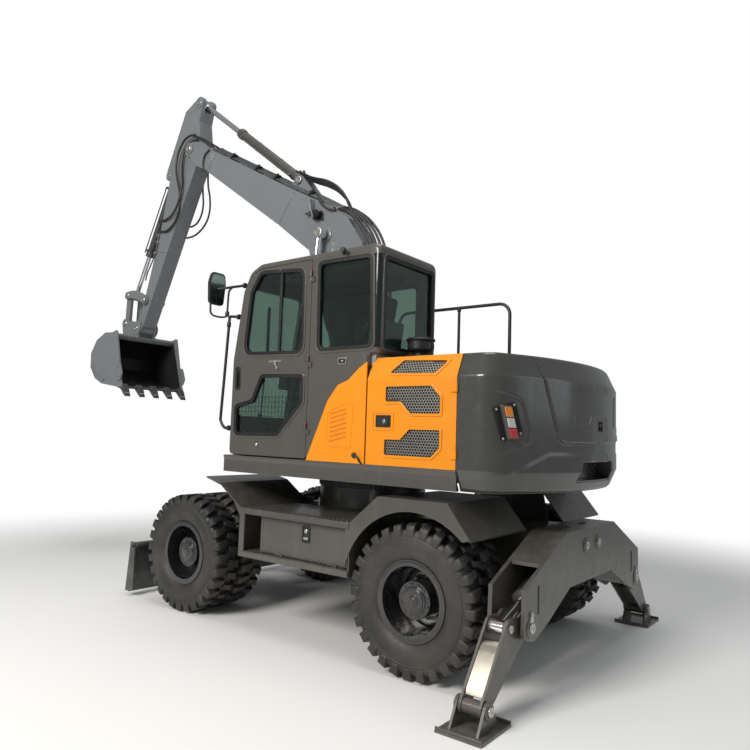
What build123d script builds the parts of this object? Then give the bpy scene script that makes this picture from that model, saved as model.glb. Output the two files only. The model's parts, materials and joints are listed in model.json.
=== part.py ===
"""Wheeled excavator: every piece in one frame, in millimetres.

+X points forward, to the blade and the bucket, +Y to the left, to the cab, and +Z up.
The origin is on the ground under the slewing axis, midway between the axles.
"""
from build123d import *
import math
import os

os.makedirs("parts", exist_ok=True)

# ---------------------------------------------------------------- fits
PIN_FIT = 0.1            # radial clearance of a pin in its bore
SEAT_GAP = 0.3           # between two pieces that rest on each other
SEAM = 8.0               # open joint round a door or lid
NECK_L = 10.0            # between a cylinder's base eye and its barrel
BARREL_FLOOR = 20.0
BARREL_WALL = 11.0
GLAND_L = 60.0
GLAND_OUT = 7.0

# ---------------------------------------------------------------- wheels and axles
WHEELBASE = 2550.0
AXLE_Z = 530.0
TYRE_R = 530.0
TYRE_W = 262.0
TYRE_PITCH = 298.0       # between the two tyres of a twin wheel
LUGS = 28                # lug blocks round each half of the tread
LUG_NOTCH_R = 485.0      # root of the notch between two lugs
TYRE_SIDES = 12          # flats of the bead opening and of the sidewall's dish
DISH_R = (290.0, 345.0)  # dish of the sidewall: at the bead and at the outer face
OVER_TYRES = 2430.0      # outside width over the twin wheels
BEAD_R = 254.0
BEAD_W = 180.0
RIM_WALL = 14.0
RIM_LIP_R = 282.0
RIM_LIP_W = 12.0
HUB_R = 130.0
HUB_IN_Y = 800.0
HUB_OUT_Y = 1135.0
SPINDLE_R = 62.0
SPINDLE_END_Y = 1095.0
DISC_W = 18.0
AXLE_TUBE_R = 95.0
DIFF_R = 165.0
KINGPIN_Y = 660.0
KINGPIN_R = 30.0
KNUCKLE_HALF_H = 105.0
EAR_T = 50.0

# ---------------------------------------------------------------- chassis
FRAME_HALF_W = 360.0
FRAME_TOP_Z = 990.0
FRAME_LOW_Z = 700.0
FRAME_BELLY_Z = 520.0
FRAME_FRONT_X = 1640.0
CENTRE_HALF_X = 500.0    # wide middle section under the slewing ring
CENTRE_HALF_Y = 520.0
RING_R = 500.0
RING_TOP_Z = 1249.0
SIDE_Y = 1200.0          # outer face of the side frames
STEP_FRONT_X = 505.0
STEP_REAR_X = -720.0
STEP_TOP_Z = 1012.0
STEP_LOW_Z = 605.0
STEP_T = 48.0
TOOLBOX_DEPTH = 70.0     # the toolbox door sits this far inside the side face
TOOLBOX_FRONT_X = 300.0
TOOLBOX_DOOR_T = 12.0
TOOLBOX_HINGE_X = (-520.0, 60.0)
FENDER_TOP_Z = 1228.0
FENDER_DROP = 12.0       # upright thickness of a fender sheet
ARCH_R = 612.0
FRONT_FENDER_TIP_X = 980.0
FRONT_FENDER_TOP_Z = 1250.0

# ---------------------------------------------------------------- outriggers
BEAM_REAR_X = -2120.0
BEAM_FRONT_X = -1860.0
BEAM_PLATE_T = 28.0
BEAM_TOP_Z = 1028.0
BEAM_TOP_T = 22.0
BEAM_ARCH_Z = 645.0      # underside between the legs
BEAM_TOP_HALF_Y = 500.0
BEAM_SHOULDER_Y = 1150.0
BEAM_SHOULDER_Z = 740.0
TIE_HOLE_X = -1985.0
TIE_HOLE_Y = 160.0
TIE_HOLE_R = 30.0
LEG_PIVOT = (1075.0, 497.0)      # y, z of the left leg's pivot
LEG_PIVOT_R = 28.0
FOOT_PIN = (1554.0, 125.0)
FOOT_PIN_R = 28.0
LEG_EYE = (1250.0, 515.0)
LEG_HEAD = (124.0, 905.0)        # head pin of the left leg's cylinder
LEG_WIDTH = 150.0
LEG_PLATE_T = 16.0
PAD_L = 360.0
PAD_W = 300.0
PAD_T = 16.0

# ---------------------------------------------------------------- blade
BLADE_PIVOT = (1620.0, 600.0)
BLADE_PIVOT_R = 26.0
BLADE_HALF_W = 1200.0
BLADE_BACK_X = 2030.0
BLADE_LOW_Z = 45.0
BLADE_TOP_Z = 520.0
BLADE_T = 16.0
BLADE_HOLE = (2060.0, 490.0)     # lashing hole of each end plate
BLADE_HOLE_R = 18.0
BLADE_ARM_Y = 220.0
BLADE_ARM_T = 40.0
BLADE_BASE = (1560.0, 960.0)
BLADE_EYE = (2000.0, 620.0)
BLADE_CYL_Y = 120.0
BLADE_SLOT_HALF = 52.0

# ---------------------------------------------------------------- upper structure
UPPER_HALF_W = 1150.0
SKIRT_LOW_Z = 1306.0
DECK_Z = 1450.0
DECK_FRONT_X = 850.0
DECK_T = 20.0
UPPER_RING_R = 430.0
HOOD_TOP_Z = 2260.0
BELT_Z = 2095.0          # crease below the sloped upper band
BELT_IN = 75.0           # how far the band leans in
TAIL_R = 2180.0          # tail radius about the slewing axis
TAIL_DEPTH = 580.0
TAIL_X = TAIL_DEPTH - TAIL_R     # joint between bodywork and counterweight
TAIL_CORNER_R = 190.0
HATCH_SETBACK = 250.0
HATCH_X = TAIL_X - HATCH_SETBACK  # front edge of the hatch
HATCH_LOW_Z = 1660.0
HATCH_CORNER_R = 105.0
HATCH_T = 30.0
HATCH_HINGE_IN = 4.0     # hinge axis in the middle of the seam
HATCH_HINGE_Y = (-500.0, 500.0)
TAIL_LAMP_TURN = 27.5    # degrees off the middle line, seen from above
TAIL_LAMP_Z = 1770.0
TAIL_LAMP_DEPTH = 30.0
TAIL_LAMP_SUNK = 5.0
TAIL_WALL = 40.0
TOW_HALF_Y = (300.0, 355.0)      # half-widths of the tow recess, above and below
TOW_Z = (1385.0, 1520.0)
TOW_DEPTH = 150.0
SHELL_T = 40.0           # thickness of the side bodywork
CAB_REAR_LOW_X = -790.0  # below the hood's level the cab is shorter
CAB_REAR_X = -885.0
CAB_STEP_Z = 2290.0
CAB_FRONT_X = 790.0
CAB_RIGHT_Y = 330.0
CAB_LEFT_Y = UPPER_HALF_W - 14.0
CAB_TOP_Z = 3160.0
CAB_WALL = 42.0
CONSOLE_GAP = 31.0       # from the seat's consoles to the cab's walls
CONSOLE_W = 95.0
CAB_CORNER_R = 90.0
DOOR_REAR_X = -170.0
DOOR_FRONT_X = 760.0
DOOR_TOP_Z = 3105.0
GLASS_T = 8.0
PANEL_X = -795.0         # rear edge of the panel below the cab
PANEL_T = 13.5
PANEL_GAP = 14.0         # between that panel and the engine door

PRE_CLEANER = (-1000.0, 730.0)
RAIL_Y = -1020.0
RAIL_TOP_Z = 3050.0
MIRROR = (1000.0, 1170.0, 2980.0)
HINGE_PIN_R = 5.0
HINGE_OUT = 11.0         # hinge axis outside the door's face
HINGE_L = 90.0
DOOR_HINGE_Z = (1700.0, 2250.0, 2960.0)
ENGINE_HINGE_Z = (1540.0, 2000.0)

# ---------------------------------------------------------------- front equipment (x, z of each pin)
BOOM_FOOT = (100.0, 1800.0)
BOOM_HALF_W = 140.0
BOOM_FOOT_R = 45.0
ARM_PIVOT = (3000.0, 5195.0)
ARM_PIVOT_R = 40.0
ARM_HALF_W = 100.0
ARM_TIP = (3947.0, 2972.0)
ARM_TIP_R = 32.0
BOOM_CYL_BASE = (850.0, 1420.0)
BOOM_CYL_EYE = (620.0, 3700.0)
BOOM_CYL_Y = 225.0
BOOM_CYL_SLOT_HALF = 70.0
ARM_CYL_BASE = (1100.0, 4410.0)
ARM_CYL_EYE = (2900.0, 5795.0)
BUCKET_CYL_BASE = (3461.0, 4955.0)
LINK_TOP = (4211.0, 3436.0)      # rocker, link and bucket cylinder meet here
ROCKER_PIVOT = (3806.0, 3333.0)
LINK_FOOT = (4222.0, 3055.0)
ROCKER_Y = 136.0
ROCKER_PIN_R = 28.0
ROCKER_BOW = 40.0
LINK_PIN_R = 26.0
LINK_HALF_W = 102.0
BUCKET_HALF_W = 460.0
BUCKET_TEETH = 5

# one row for each cylinder: barrel radius, rod radius, barrel length, rod length,
# eye radius, eye width, pin radius
CYLINDERS = {
    "boom": (54.0, 34.0, 1260.0, 1200.0, 60.0, 76.0, 34.0),
    "arm": (54.0, 32.0, 1360.0, 1300.0, 60.0, 90.0, 30.0),
    "bucket": (46.0, 28.0, 1105.0, 1050.0, 50.0, 76.0, 26.0),
    "blade": (40.0, 24.0, 330.0, 330.0, 40.0, 60.0, 20.0),
    "outrigger": (52.0, 30.0, 870.0, 760.0, 44.0, 84.0, 26.0),
}


# ================================================================ shape helpers
def block(x0, x1, y0, y1, z0, z1):
    centre = ((x0 + x1) / 2, (y0 + y1) / 2, (z0 + z1) / 2)
    return Pos(*centre) * Box(abs(x1 - x0), abs(y1 - y0), abs(z1 - z0))


def side_prism(outline, y0, y1):
    """Outline of (x, z) points, or a face in that plane, stretched from y0 to y1."""
    plane = Plane(origin=(0, y1, 0), x_dir=(1, 0, 0), z_dir=(0, -1, 0))
    return extrude(plane * as_face(outline), amount=y1 - y0)


def end_prism(outline, x0, x1):
    """Outline of (y, z) points stretched from x0 to x1."""
    plane = Plane(origin=(x0, 0, 0), x_dir=(0, 1, 0), z_dir=(1, 0, 0))
    return extrude(plane * as_face(outline), amount=x1 - x0)


def plan_prism(outline, z0, z1):
    """Outline of (x, y) points stretched from z0 to z1."""
    return extrude(Pos(0, 0, z0) * as_face(outline), amount=z1 - z0)


def as_face(outline):
    if isinstance(outline, list):
        return make_face(Polyline(*outline, close=True))
    return outline


def pin_x(y, z, radius, x0, x1):
    return Pos((x0 + x1) / 2, y, z) * Rot(0, 90, 0) * Cylinder(radius, abs(x1 - x0))


def pin_y(x, z, radius, y0, y1):
    return Pos(x, (y0 + y1) / 2, z) * Rot(90, 0, 0) * Cylinder(radius, abs(y1 - y0))


def pin_z(x, y, radius, z0, z1):
    return Pos(x, y, (z0 + z1) / 2) * Cylinder(radius, abs(z1 - z0))


def rod(start, end, radius):
    run = Vector(*end) - Vector(*start)
    plane = Plane(origin=start, z_dir=tuple(run.normalized()))
    return plane * Cylinder(radius, run.length, align=(Align.CENTER, Align.CENTER, Align.MIN))


def tube_path(points, radius, bend):
    """Bent tube with its corners rounded to one radius."""
    path = FilletPolyline(*points, radius=bend)
    section = Plane(origin=path @ 0, z_dir=path % 0) * Circle(radius)
    return sweep(section, path=path)


def mirrored(part):
    return mirror(part, about=Plane.XZ)


def cylinder_barrel(kind, base, eye, pin_axis):
    """Barrel from its base pin towards the eye, bored for its rod and open at the gland."""
    barrel_r, rod_r, barrel_len, rod_len, eye_r, eye_w, pin_r = CYLINDERS[kind]
    along = Plane(origin=base, z_dir=tuple((Vector(*eye) - Vector(*base)).normalized()))
    across = Plane(origin=base, z_dir=pin_axis)
    low = (Align.CENTER, Align.CENTER, Align.MIN)
    start = eye_r + NECK_L
    floor = start + BARREL_FLOOR
    body = along * Cylinder(eye_w / 2 - 1, start + 1, align=low)
    body += along * Pos(0, 0, start) * Cylinder(barrel_r, barrel_len - start, align=low)
    body += along * Pos(0, 0, barrel_len - GLAND_L) * Cylinder(barrel_r + GLAND_OUT, GLAND_L, align=low)
    body += across * Cylinder(eye_r, eye_w)
    bore_len = barrel_len - floor - GLAND_L
    body -= along * Pos(0, 0, floor) * Cylinder(barrel_r - BARREL_WALL, bore_len, align=low)
    body -= along * Pos(0, 0, floor) * Cylinder(rod_r + PIN_FIT, barrel_len, align=low)
    body -= across * Cylinder(pin_r + PIN_FIT, eye_w + 20)
    return body


def cylinder_rod(kind, base, eye, pin_axis):
    """Chrome rod with its eye, the eye filled by its own pin."""
    barrel_r, rod_r, barrel_len, rod_len, eye_r, eye_w, pin_r = CYLINDERS[kind]
    line = (Vector(*base) - Vector(*eye)).normalized()
    along = Plane(origin=eye, z_dir=tuple(line))
    low = (Align.CENTER, Align.CENTER, Align.MIN)
    shaft = along * Cylinder(rod_r, rod_len, align=low)
    boss = Plane(origin=eye, z_dir=pin_axis) * Cylinder(eye_r, eye_w)
    return shaft + boss


def cylinder_set(kind, base, eye, offsets):
    """Barrels and rods of like cylinders in the (x, z) plane, one at each y offset."""
    barrels = Part()
    rods = Part()
    for y in offsets:
        ends = ((base[0], y, base[1]), (eye[0], y, eye[1]))
        barrels += cylinder_barrel(kind, *ends, (0, 1, 0))
        rods += cylinder_rod(kind, *ends, (0, 1, 0))
    return barrels, rods


def both_sides(low, high, make):
    """Left and right copies of make(y0, y1), with 0 < low < high measured from the middle."""
    return make(low, high) + make(-high, -low)


def put(name, part):
    solids = part.solids()
    kept = solids[0] if len(solids) == 1 else Compound(children=list(solids))
    export_step(kept, f"parts/{name}.step")


# ================================================================ wheels
TYRE_OUT_Y = OVER_TYRES / 2 - TYRE_W / 2
TYRE_IN_Y = TYRE_OUT_Y - TYRE_PITCH
DISC_Y = (TYRE_OUT_Y + TYRE_IN_Y) / 2
AXLE_X = {"front": WHEELBASE / 2, "rear": -WHEELBASE / 2}


def ring(profile, x):
    """Profile of (radius, y) points turned about the wheel's axle."""
    plane = Plane(origin=(x, 0, AXLE_Z), x_dir=(0, 0, 1), z_dir=(1, 0, 0))
    points = [(r, -y) for r, y in profile]
    face = plane * as_face(points)
    return revolve(face, axis=Axis((x, 0, AXLE_Z), (0, 1, 0)))


def half_tread(x, shift, y0, y1):
    """Half of a tyre's width: flat lugs with a notch after each, the first turned by a share of the pitch."""
    pitch = 2 * math.pi / LUGS
    corner_r = TYRE_R / math.cos(pitch / 4)
    outline = []
    for k in range(LUGS):
        middle = pitch * (k + shift)
        for turn, radius in ((-pitch / 4, corner_r), (pitch / 4, corner_r), (pitch / 2, LUG_NOTCH_R)):
            outline.append((x + radius * math.sin(middle + turn), AXLE_Z - radius * math.cos(middle + turn)))
    return side_prism(outline, y0, y1)


def wheel_polygon(x, y, radius):
    """Flat-sided ring line round the axle, its flats touching the radius."""
    across = Plane(origin=(x, y, AXLE_Z), z_dir=(0, 1, 0))
    return across * RegularPolygon(radius, TYRE_SIDES, major_radius=False)


def tyre(x, y):
    """Tyre with staggered lugs on both shoulders and a dish towards each bead."""
    half = TYRE_W / 2
    bead = BEAD_W / 2
    body = half_tread(x, 0.0, y, y + half) + half_tread(x, 0.5, y - half, y)
    body -= extrude(wheel_polygon(x, y - half - 5, BEAD_R + SEAT_GAP), amount=TYRE_W + 10)
    for side in (1, -1):
        floor = wheel_polygon(x, y + side * bead, DISH_R[0])
        mouth = wheel_polygon(x, y + side * half, DISH_R[1])
        body -= loft([floor, mouth])
    return body


def rim_profile(y):
    edge = BEAD_W / 2 + SEAT_GAP + 2
    inner = BEAD_R - RIM_WALL
    return [
        (inner, y - edge - RIM_LIP_W),
        (RIM_LIP_R, y - edge - RIM_LIP_W),
        (RIM_LIP_R, y - edge),
        (BEAD_R, y - edge),
        (BEAD_R, y + edge),
        (RIM_LIP_R, y + edge),
        (RIM_LIP_R, y + edge + RIM_LIP_W),
        (inner, y + edge + RIM_LIP_W),
    ]


def twin_tyres(x):
    return tyre(x, TYRE_OUT_Y) + tyre(x, TYRE_IN_Y)


def twin_rim(x):
    body = ring(rim_profile(TYRE_OUT_Y), x) + ring(rim_profile(TYRE_IN_Y), x)
    edge = BEAD_W / 2
    spacer = [
        (BEAD_R - RIM_WALL, TYRE_IN_Y + edge),
        (BEAD_R, TYRE_IN_Y + edge),
        (BEAD_R, TYRE_OUT_Y - edge),
        (BEAD_R - RIM_WALL, TYRE_OUT_Y - edge),
    ]
    body += ring(spacer, x)
    body += pin_y(x, AXLE_Z, BEAD_R - RIM_WALL / 2, DISC_Y - DISC_W / 2, DISC_Y + DISC_W / 2)
    body += pin_y(x, AXLE_Z, HUB_R, HUB_IN_Y, HUB_OUT_Y)
    body -= pin_y(x, AXLE_Z, SPINDLE_R + PIN_FIT, HUB_IN_Y - 10, SPINDLE_END_Y + 5)
    for k in range(6):
        turn = math.radians(60 * k + 30)
        body -= pin_y(x + 185 * math.cos(turn), AXLE_Z + 185 * math.sin(turn), 26, DISC_Y - 30, DISC_Y + 30)
    return body


for end in ("front", "rear"):
    for side, turn in (("left", False), ("right", True)):
        tyres = twin_tyres(AXLE_X[end])
        rim = twin_rim(AXLE_X[end])
        put(f"tyres_{end}_{side}", mirrored(tyres) if turn else tyres)
        put(f"rims_{end}_{side}", mirrored(rim) if turn else rim)


# ================================================================ axles
def axle_body(x):
    tube = pin_y(x, AXLE_Z, AXLE_TUBE_R, -KINGPIN_Y + 140, KINGPIN_Y - 140)
    bulge = Pos(x, 0, AXLE_Z) * Sphere(DIFF_R)
    saddle = block(x - 110, x + 110, -130, 130, AXLE_Z, FRAME_LOW_Z - SEAT_GAP)
    return tube + bulge + saddle


def front_axle():
    x = AXLE_X["front"]
    body = axle_body(x)
    for side in (1, -1):
        y_in = KINGPIN_Y - 150
        y_out = KINGPIN_Y + 75
        yoke = block(x - 75, x + 75, side * y_in, side * (KINGPIN_Y - 95),
                     AXLE_Z - KNUCKLE_HALF_H - EAR_T, AXLE_Z + KNUCKLE_HALF_H + EAR_T)
        for up in (1, -1):
            z0 = AXLE_Z + up * (KNUCKLE_HALF_H + 1)
            z1 = AXLE_Z + up * (KNUCKLE_HALF_H + EAR_T)
            ear = block(x - 75, x + 75, side * y_in, side * y_out, min(z0, z1), max(z0, z1))
            yoke += ear
        body += yoke
        height = KNUCKLE_HALF_H + EAR_T + 20
        body -= pin_z(x, side * KINGPIN_Y, KINGPIN_R + PIN_FIT, AXLE_Z - height, AXLE_Z + height)
    return body


def knuckle():
    x = AXLE_X["front"]
    height = KNUCKLE_HALF_H + EAR_T
    half_h = KNUCKLE_HALF_H
    body = block(x - 70, x + 70, KINGPIN_Y - 70, KINGPIN_Y + 85, AXLE_Z - half_h, AXLE_Z + half_h)
    body += pin_z(x, KINGPIN_Y, KINGPIN_R, AXLE_Z - height, AXLE_Z + height)
    body += pin_y(x, AXLE_Z, SPINDLE_R + 30, KINGPIN_Y + 80, HUB_IN_Y - SEAT_GAP)
    body += pin_y(x, AXLE_Z, SPINDLE_R, KINGPIN_Y + 80, SPINDLE_END_Y)
    body += block(x - 210, x - 60, KINGPIN_Y - 45, KINGPIN_Y + 5, AXLE_Z - 30, AXLE_Z + 30)
    return body


def rear_axle():
    x = AXLE_X["rear"]
    body = axle_body(x)
    for side in (1, -1):
        body += pin_y(x, AXLE_Z, 110, side * 500, side * 700)
        body += pin_y(x, AXLE_Z, SPINDLE_R + 30, side * 700, side * (HUB_IN_Y - SEAT_GAP))
        body += pin_y(x, AXLE_Z, SPINDLE_R, side * 700, side * SPINDLE_END_Y)
    return body


put("front_axle", front_axle())
put("rear_axle", rear_axle())
put("knuckle_left", knuckle())
put("knuckle_right", mirrored(knuckle()))


# ================================================================ chassis
def chassis_frame():
    outline = [
        (BEAM_FRONT_X + SEAT_GAP, FRAME_LOW_Z),
        (-780, FRAME_LOW_Z),
        (-620, FRAME_BELLY_Z),
        (560, FRAME_BELLY_Z),
        (760, FRAME_LOW_Z),
        (FRAME_FRONT_X - 120, FRAME_LOW_Z),
        (FRAME_FRONT_X - 60, 540),
        (FRAME_FRONT_X + 30, 540),
        (FRAME_FRONT_X + 30, 660),
        (FRAME_FRONT_X - 20, FRAME_TOP_Z),
        (BEAM_FRONT_X + SEAT_GAP, FRAME_TOP_Z),
    ]
    body = side_prism(outline, -FRAME_HALF_W, FRAME_HALF_W)
    body += block(-CENTRE_HALF_X, CENTRE_HALF_X, -CENTRE_HALF_Y, CENTRE_HALF_Y, FRAME_LOW_Z, FRAME_TOP_Z)
    body += pin_z(0, 0, RING_R, FRAME_TOP_Z - 5, RING_TOP_Z)
    body -= pin_z(0, 0, RING_R - 110, FRAME_TOP_Z + 20, RING_TOP_Z + 5)
    # recesses for the blade's arms and cylinders, open at the front, each with its pin
    pin_r = CYLINDERS["blade"][6]
    arm_half = BLADE_ARM_T / 2 + 6
    x, z = BLADE_PIVOT
    front = FRAME_FRONT_X + 60
    body -= both_sides(BLADE_ARM_Y - arm_half, BLADE_ARM_Y + arm_half,
                       lambda y0, y1: block(x - 95, front, y0, y1, 500, 760))
    body += both_sides(180, 290, lambda y0, y1: pin_y(x, z, BLADE_PIVOT_R, y0, y1))
    x, z = BLADE_BASE
    body -= both_sides(BLADE_CYL_Y - BLADE_SLOT_HALF, BLADE_CYL_Y + BLADE_SLOT_HALF,
                       lambda y0, y1: block(x - 70, front, y0, y1, 775, FRAME_TOP_Z + 30))
    body += both_sides(60, 180, lambda y0, y1: pin_y(x, z, pin_r, y0, y1))
    return body


TOOLBOX_HINGE_Y = SIDE_Y - TOOLBOX_DEPTH + 22
TOOLBOX_HINGE_Z = STEP_LOW_Z + STEP_T + 11


def side_frame():
    """Left side: front fender, step box with its open recess, and rear fender."""
    y_in = FRAME_HALF_W + SEAT_GAP
    x_axle = AXLE_X["rear"]
    side_outline = [
        (STEP_FRONT_X, STEP_LOW_Z),
        (STEP_FRONT_X, 940),
        (590, 1060),
        (760, 1180),
        (FRONT_FENDER_TIP_X, FRONT_FENDER_TOP_Z - 12),
        (FRONT_FENDER_TIP_X, FRONT_FENDER_TOP_Z),
        (790, 1205),
        (STEP_FRONT_X - 10, STEP_TOP_Z),
        (STEP_REAR_X, STEP_TOP_Z),
        (-974, FENDER_TOP_Z),
        (-1565, FENDER_TOP_Z),
        (-1746, 1000),
        (-1690, 985),
        (-1640, 1000),
        (-1200, 700),
        (STEP_REAR_X - 10, STEP_LOW_Z),
    ]
    panel = side_prism(side_outline, SIDE_Y - 14, SIDE_Y)
    panel -= pin_y(x_axle, AXLE_Z, ARCH_R, SIDE_Y - 30, SIDE_Y + 10)
    opening_z = (STEP_LOW_Z + STEP_T, STEP_TOP_Z - STEP_T)
    panel -= block(STEP_REAR_X + 40, STEP_FRONT_X - 60, SIDE_Y - 30, SIDE_Y + 10, *opening_z)
    # top plates
    step_top = block(STEP_REAR_X, STEP_FRONT_X, y_in, SIDE_Y - 5, STEP_TOP_Z - STEP_T, STEP_TOP_Z)
    step_low = block(STEP_REAR_X, STEP_FRONT_X, y_in, SIDE_Y - 5, STEP_LOW_Z, STEP_LOW_Z + STEP_T)
    front_wall = block(STEP_FRONT_X - 10, STEP_FRONT_X, y_in, SIDE_Y - 5, STEP_LOW_Z, STEP_TOP_Z)
    rear_wall = block(STEP_REAR_X, STEP_REAR_X + 10, y_in, SIDE_Y - 5, STEP_LOW_Z, STEP_TOP_Z)
    wall_z = (STEP_LOW_Z + 10, STEP_TOP_Z - 10)
    divider = block(TOOLBOX_FRONT_X, TOOLBOX_FRONT_X + 10, y_in, SIDE_Y - TOOLBOX_DEPTH, *wall_z)
    recess_wall = block(TOOLBOX_FRONT_X, STEP_FRONT_X, SIDE_Y - 330, SIDE_Y - 320, *wall_z)
    sheets = [
        # x, z at the start, x, z at the end of each fender sheet
        (FRONT_FENDER_TIP_X, FRONT_FENDER_TOP_Z, 790, 1205),
        (790, 1205, STEP_FRONT_X - 10, STEP_TOP_Z),
        (STEP_REAR_X, STEP_TOP_Z, -974, FENDER_TOP_Z),
        (-974, FENDER_TOP_Z, -1565, FENDER_TOP_Z),
        (-1565, FENDER_TOP_Z, -1746, 1000),
    ]
    body = panel + step_top + step_low + front_wall + rear_wall + divider + recess_wall
    for x0, z0, x1, z1 in sheets:
        sheet = [(x0, z0), (x1, z1), (x1, z1 - FENDER_DROP), (x0, z0 - FENDER_DROP)]
        body += side_prism(sheet, y_in, SIDE_Y - 1)
    # brackets that carry the fenders on the frame
    body += side_prism([(620, 1088), (770, 1186), (760, 860), (620, 860)], y_in, y_in + 12)
    body += side_prism([(-974, 1220), (-1565, 1220), (-1640, 860), (-900, 860)], y_in, y_in + 12)
    for x in TOOLBOX_HINGE_X:
        body += pin_x(TOOLBOX_HINGE_Y, TOOLBOX_HINGE_Z, 4, x - 45, x + 45)
        body += pin_x(TOOLBOX_HINGE_Y, TOOLBOX_HINGE_Z, 7, x - 45, x - 15)
        foot = STEP_LOW_Z + STEP_T - 1
        body += block(x - 45, x - 15, TOOLBOX_HINGE_Y - 7, TOOLBOX_HINGE_Y + 7, foot, TOOLBOX_HINGE_Z)
    half_x = CENTRE_HALF_X + SEAT_GAP
    body -= block(-half_x, half_x, 0, CENTRE_HALF_Y + SEAT_GAP, STEP_LOW_Z - 5, FENDER_TOP_Z)
    return body


def toolbox_door():
    y1 = TOOLBOX_HINGE_Y - 8
    z0 = STEP_LOW_Z + STEP_T + SEAM
    z1 = STEP_TOP_Z - STEP_T - SEAM
    body = block(STEP_REAR_X + 60, TOOLBOX_FRONT_X - 10, y1 - TOOLBOX_DOOR_T, y1, z0, z1)
    for x in TOOLBOX_HINGE_X:
        x0 = x - 15 + SEAT_GAP
        body += pin_x(TOOLBOX_HINGE_Y, TOOLBOX_HINGE_Z, 7, x0, x + 45)
        body += block(x0, x + 45, y1 - 1, TOOLBOX_HINGE_Y, z0, z0 + 8)
        body -= pin_x(TOOLBOX_HINGE_Y, TOOLBOX_HINGE_Z, 4 + PIN_FIT, x0 - 5, x + 50)
    return body


put("chassis_frame", chassis_frame())
put("side_frame_left", side_frame())
put("side_frame_right", mirrored(side_frame()))
put("toolbox_door_left", toolbox_door())
put("toolbox_door_right", mirrored(toolbox_door()))

# ================================================================ outriggers
LEG_X0 = (BEAM_REAR_X + BEAM_FRONT_X) / 2 - LEG_WIDTH / 2
LEG_X1 = LEG_X0 + LEG_WIDTH
LEG_MID_X = (LEG_X0 + LEG_X1) / 2


def whole(half):
    """Outline (y, z) completed from its left half by symmetry about the middle."""
    return half + [(-y, z) for y, z in reversed(half) if y > 0]


def outrigger_beam():
    """Two shaped plates joined by the top, slope and arch plates, with the pins of legs and cylinders."""
    outer = whole([
        (0, BEAM_TOP_Z),
        (BEAM_TOP_HALF_Y, BEAM_TOP_Z),
        (BEAM_SHOULDER_Y, BEAM_SHOULDER_Z),
        (BEAM_SHOULDER_Y + 15, LEG_PIVOT[1] - 40),
        (LEG_PIVOT[0] + 40, LEG_PIVOT[1] - 75),
        (LEG_PIVOT[0] - 60, LEG_PIVOT[1] - 95),
        (800, 480),
        (430, BEAM_ARCH_Z),
        (0, BEAM_ARCH_Z),
    ])
    # the space between the plates, open at both ends where the legs swing
    space = whole([
        (0, BEAM_TOP_Z - BEAM_TOP_T),
        (BEAM_TOP_HALF_Y - 6, BEAM_TOP_Z - BEAM_TOP_T),
        (880, 836),
        (880, 1100),
        (1300, 1100),
        (1300, 300),
        (808, 300),
        (808, 480 + BEAM_TOP_T),
        (436, BEAM_ARCH_Z + BEAM_TOP_T),
        (0, BEAM_ARCH_Z + BEAM_TOP_T),
    ])
    body = end_prism(outer, BEAM_REAR_X, BEAM_FRONT_X)
    body -= end_prism(space, BEAM_REAR_X + BEAM_PLATE_T, BEAM_FRONT_X - BEAM_PLATE_T)
    pins = ((LEG_PIVOT, LEG_PIVOT_R), (LEG_HEAD, CYLINDERS["outrigger"][6]))
    for side in (1, -1):
        for (y, z), radius in pins:
            body += pin_x(side * y, z, radius, BEAM_REAR_X - 12, BEAM_FRONT_X - 1)
        body -= pin_z(TIE_HOLE_X, side * TIE_HOLE_Y, TIE_HOLE_R, BEAM_TOP_Z - 40, BEAM_TOP_Z + 10)
    return body


def bar_outline(p, q, rp, rq):
    """Face round two circles of different radius."""
    (x0, z0), (x1, z1) = p, q
    length = math.hypot(x1 - x0, z1 - z0)
    lean = math.asin((rp - rq) / length)
    run = math.atan2(z1 - z0, x1 - x0)
    corners = []
    for side in (1, -1):
        turn = run + side * (math.pi / 2 - lean)
        corners.append(((x0 + rp * math.cos(turn), z0 + rp * math.sin(turn)),
                        (x1 + rq * math.cos(turn), z1 + rq * math.sin(turn))))
    (a, b), (d, c) = corners
    face = make_face(Polyline(a, b, c, d, close=True))
    face += Pos(x0, z0) * Circle(rp)
    face += Pos(x1, z1) * Circle(rq)
    return face


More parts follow.
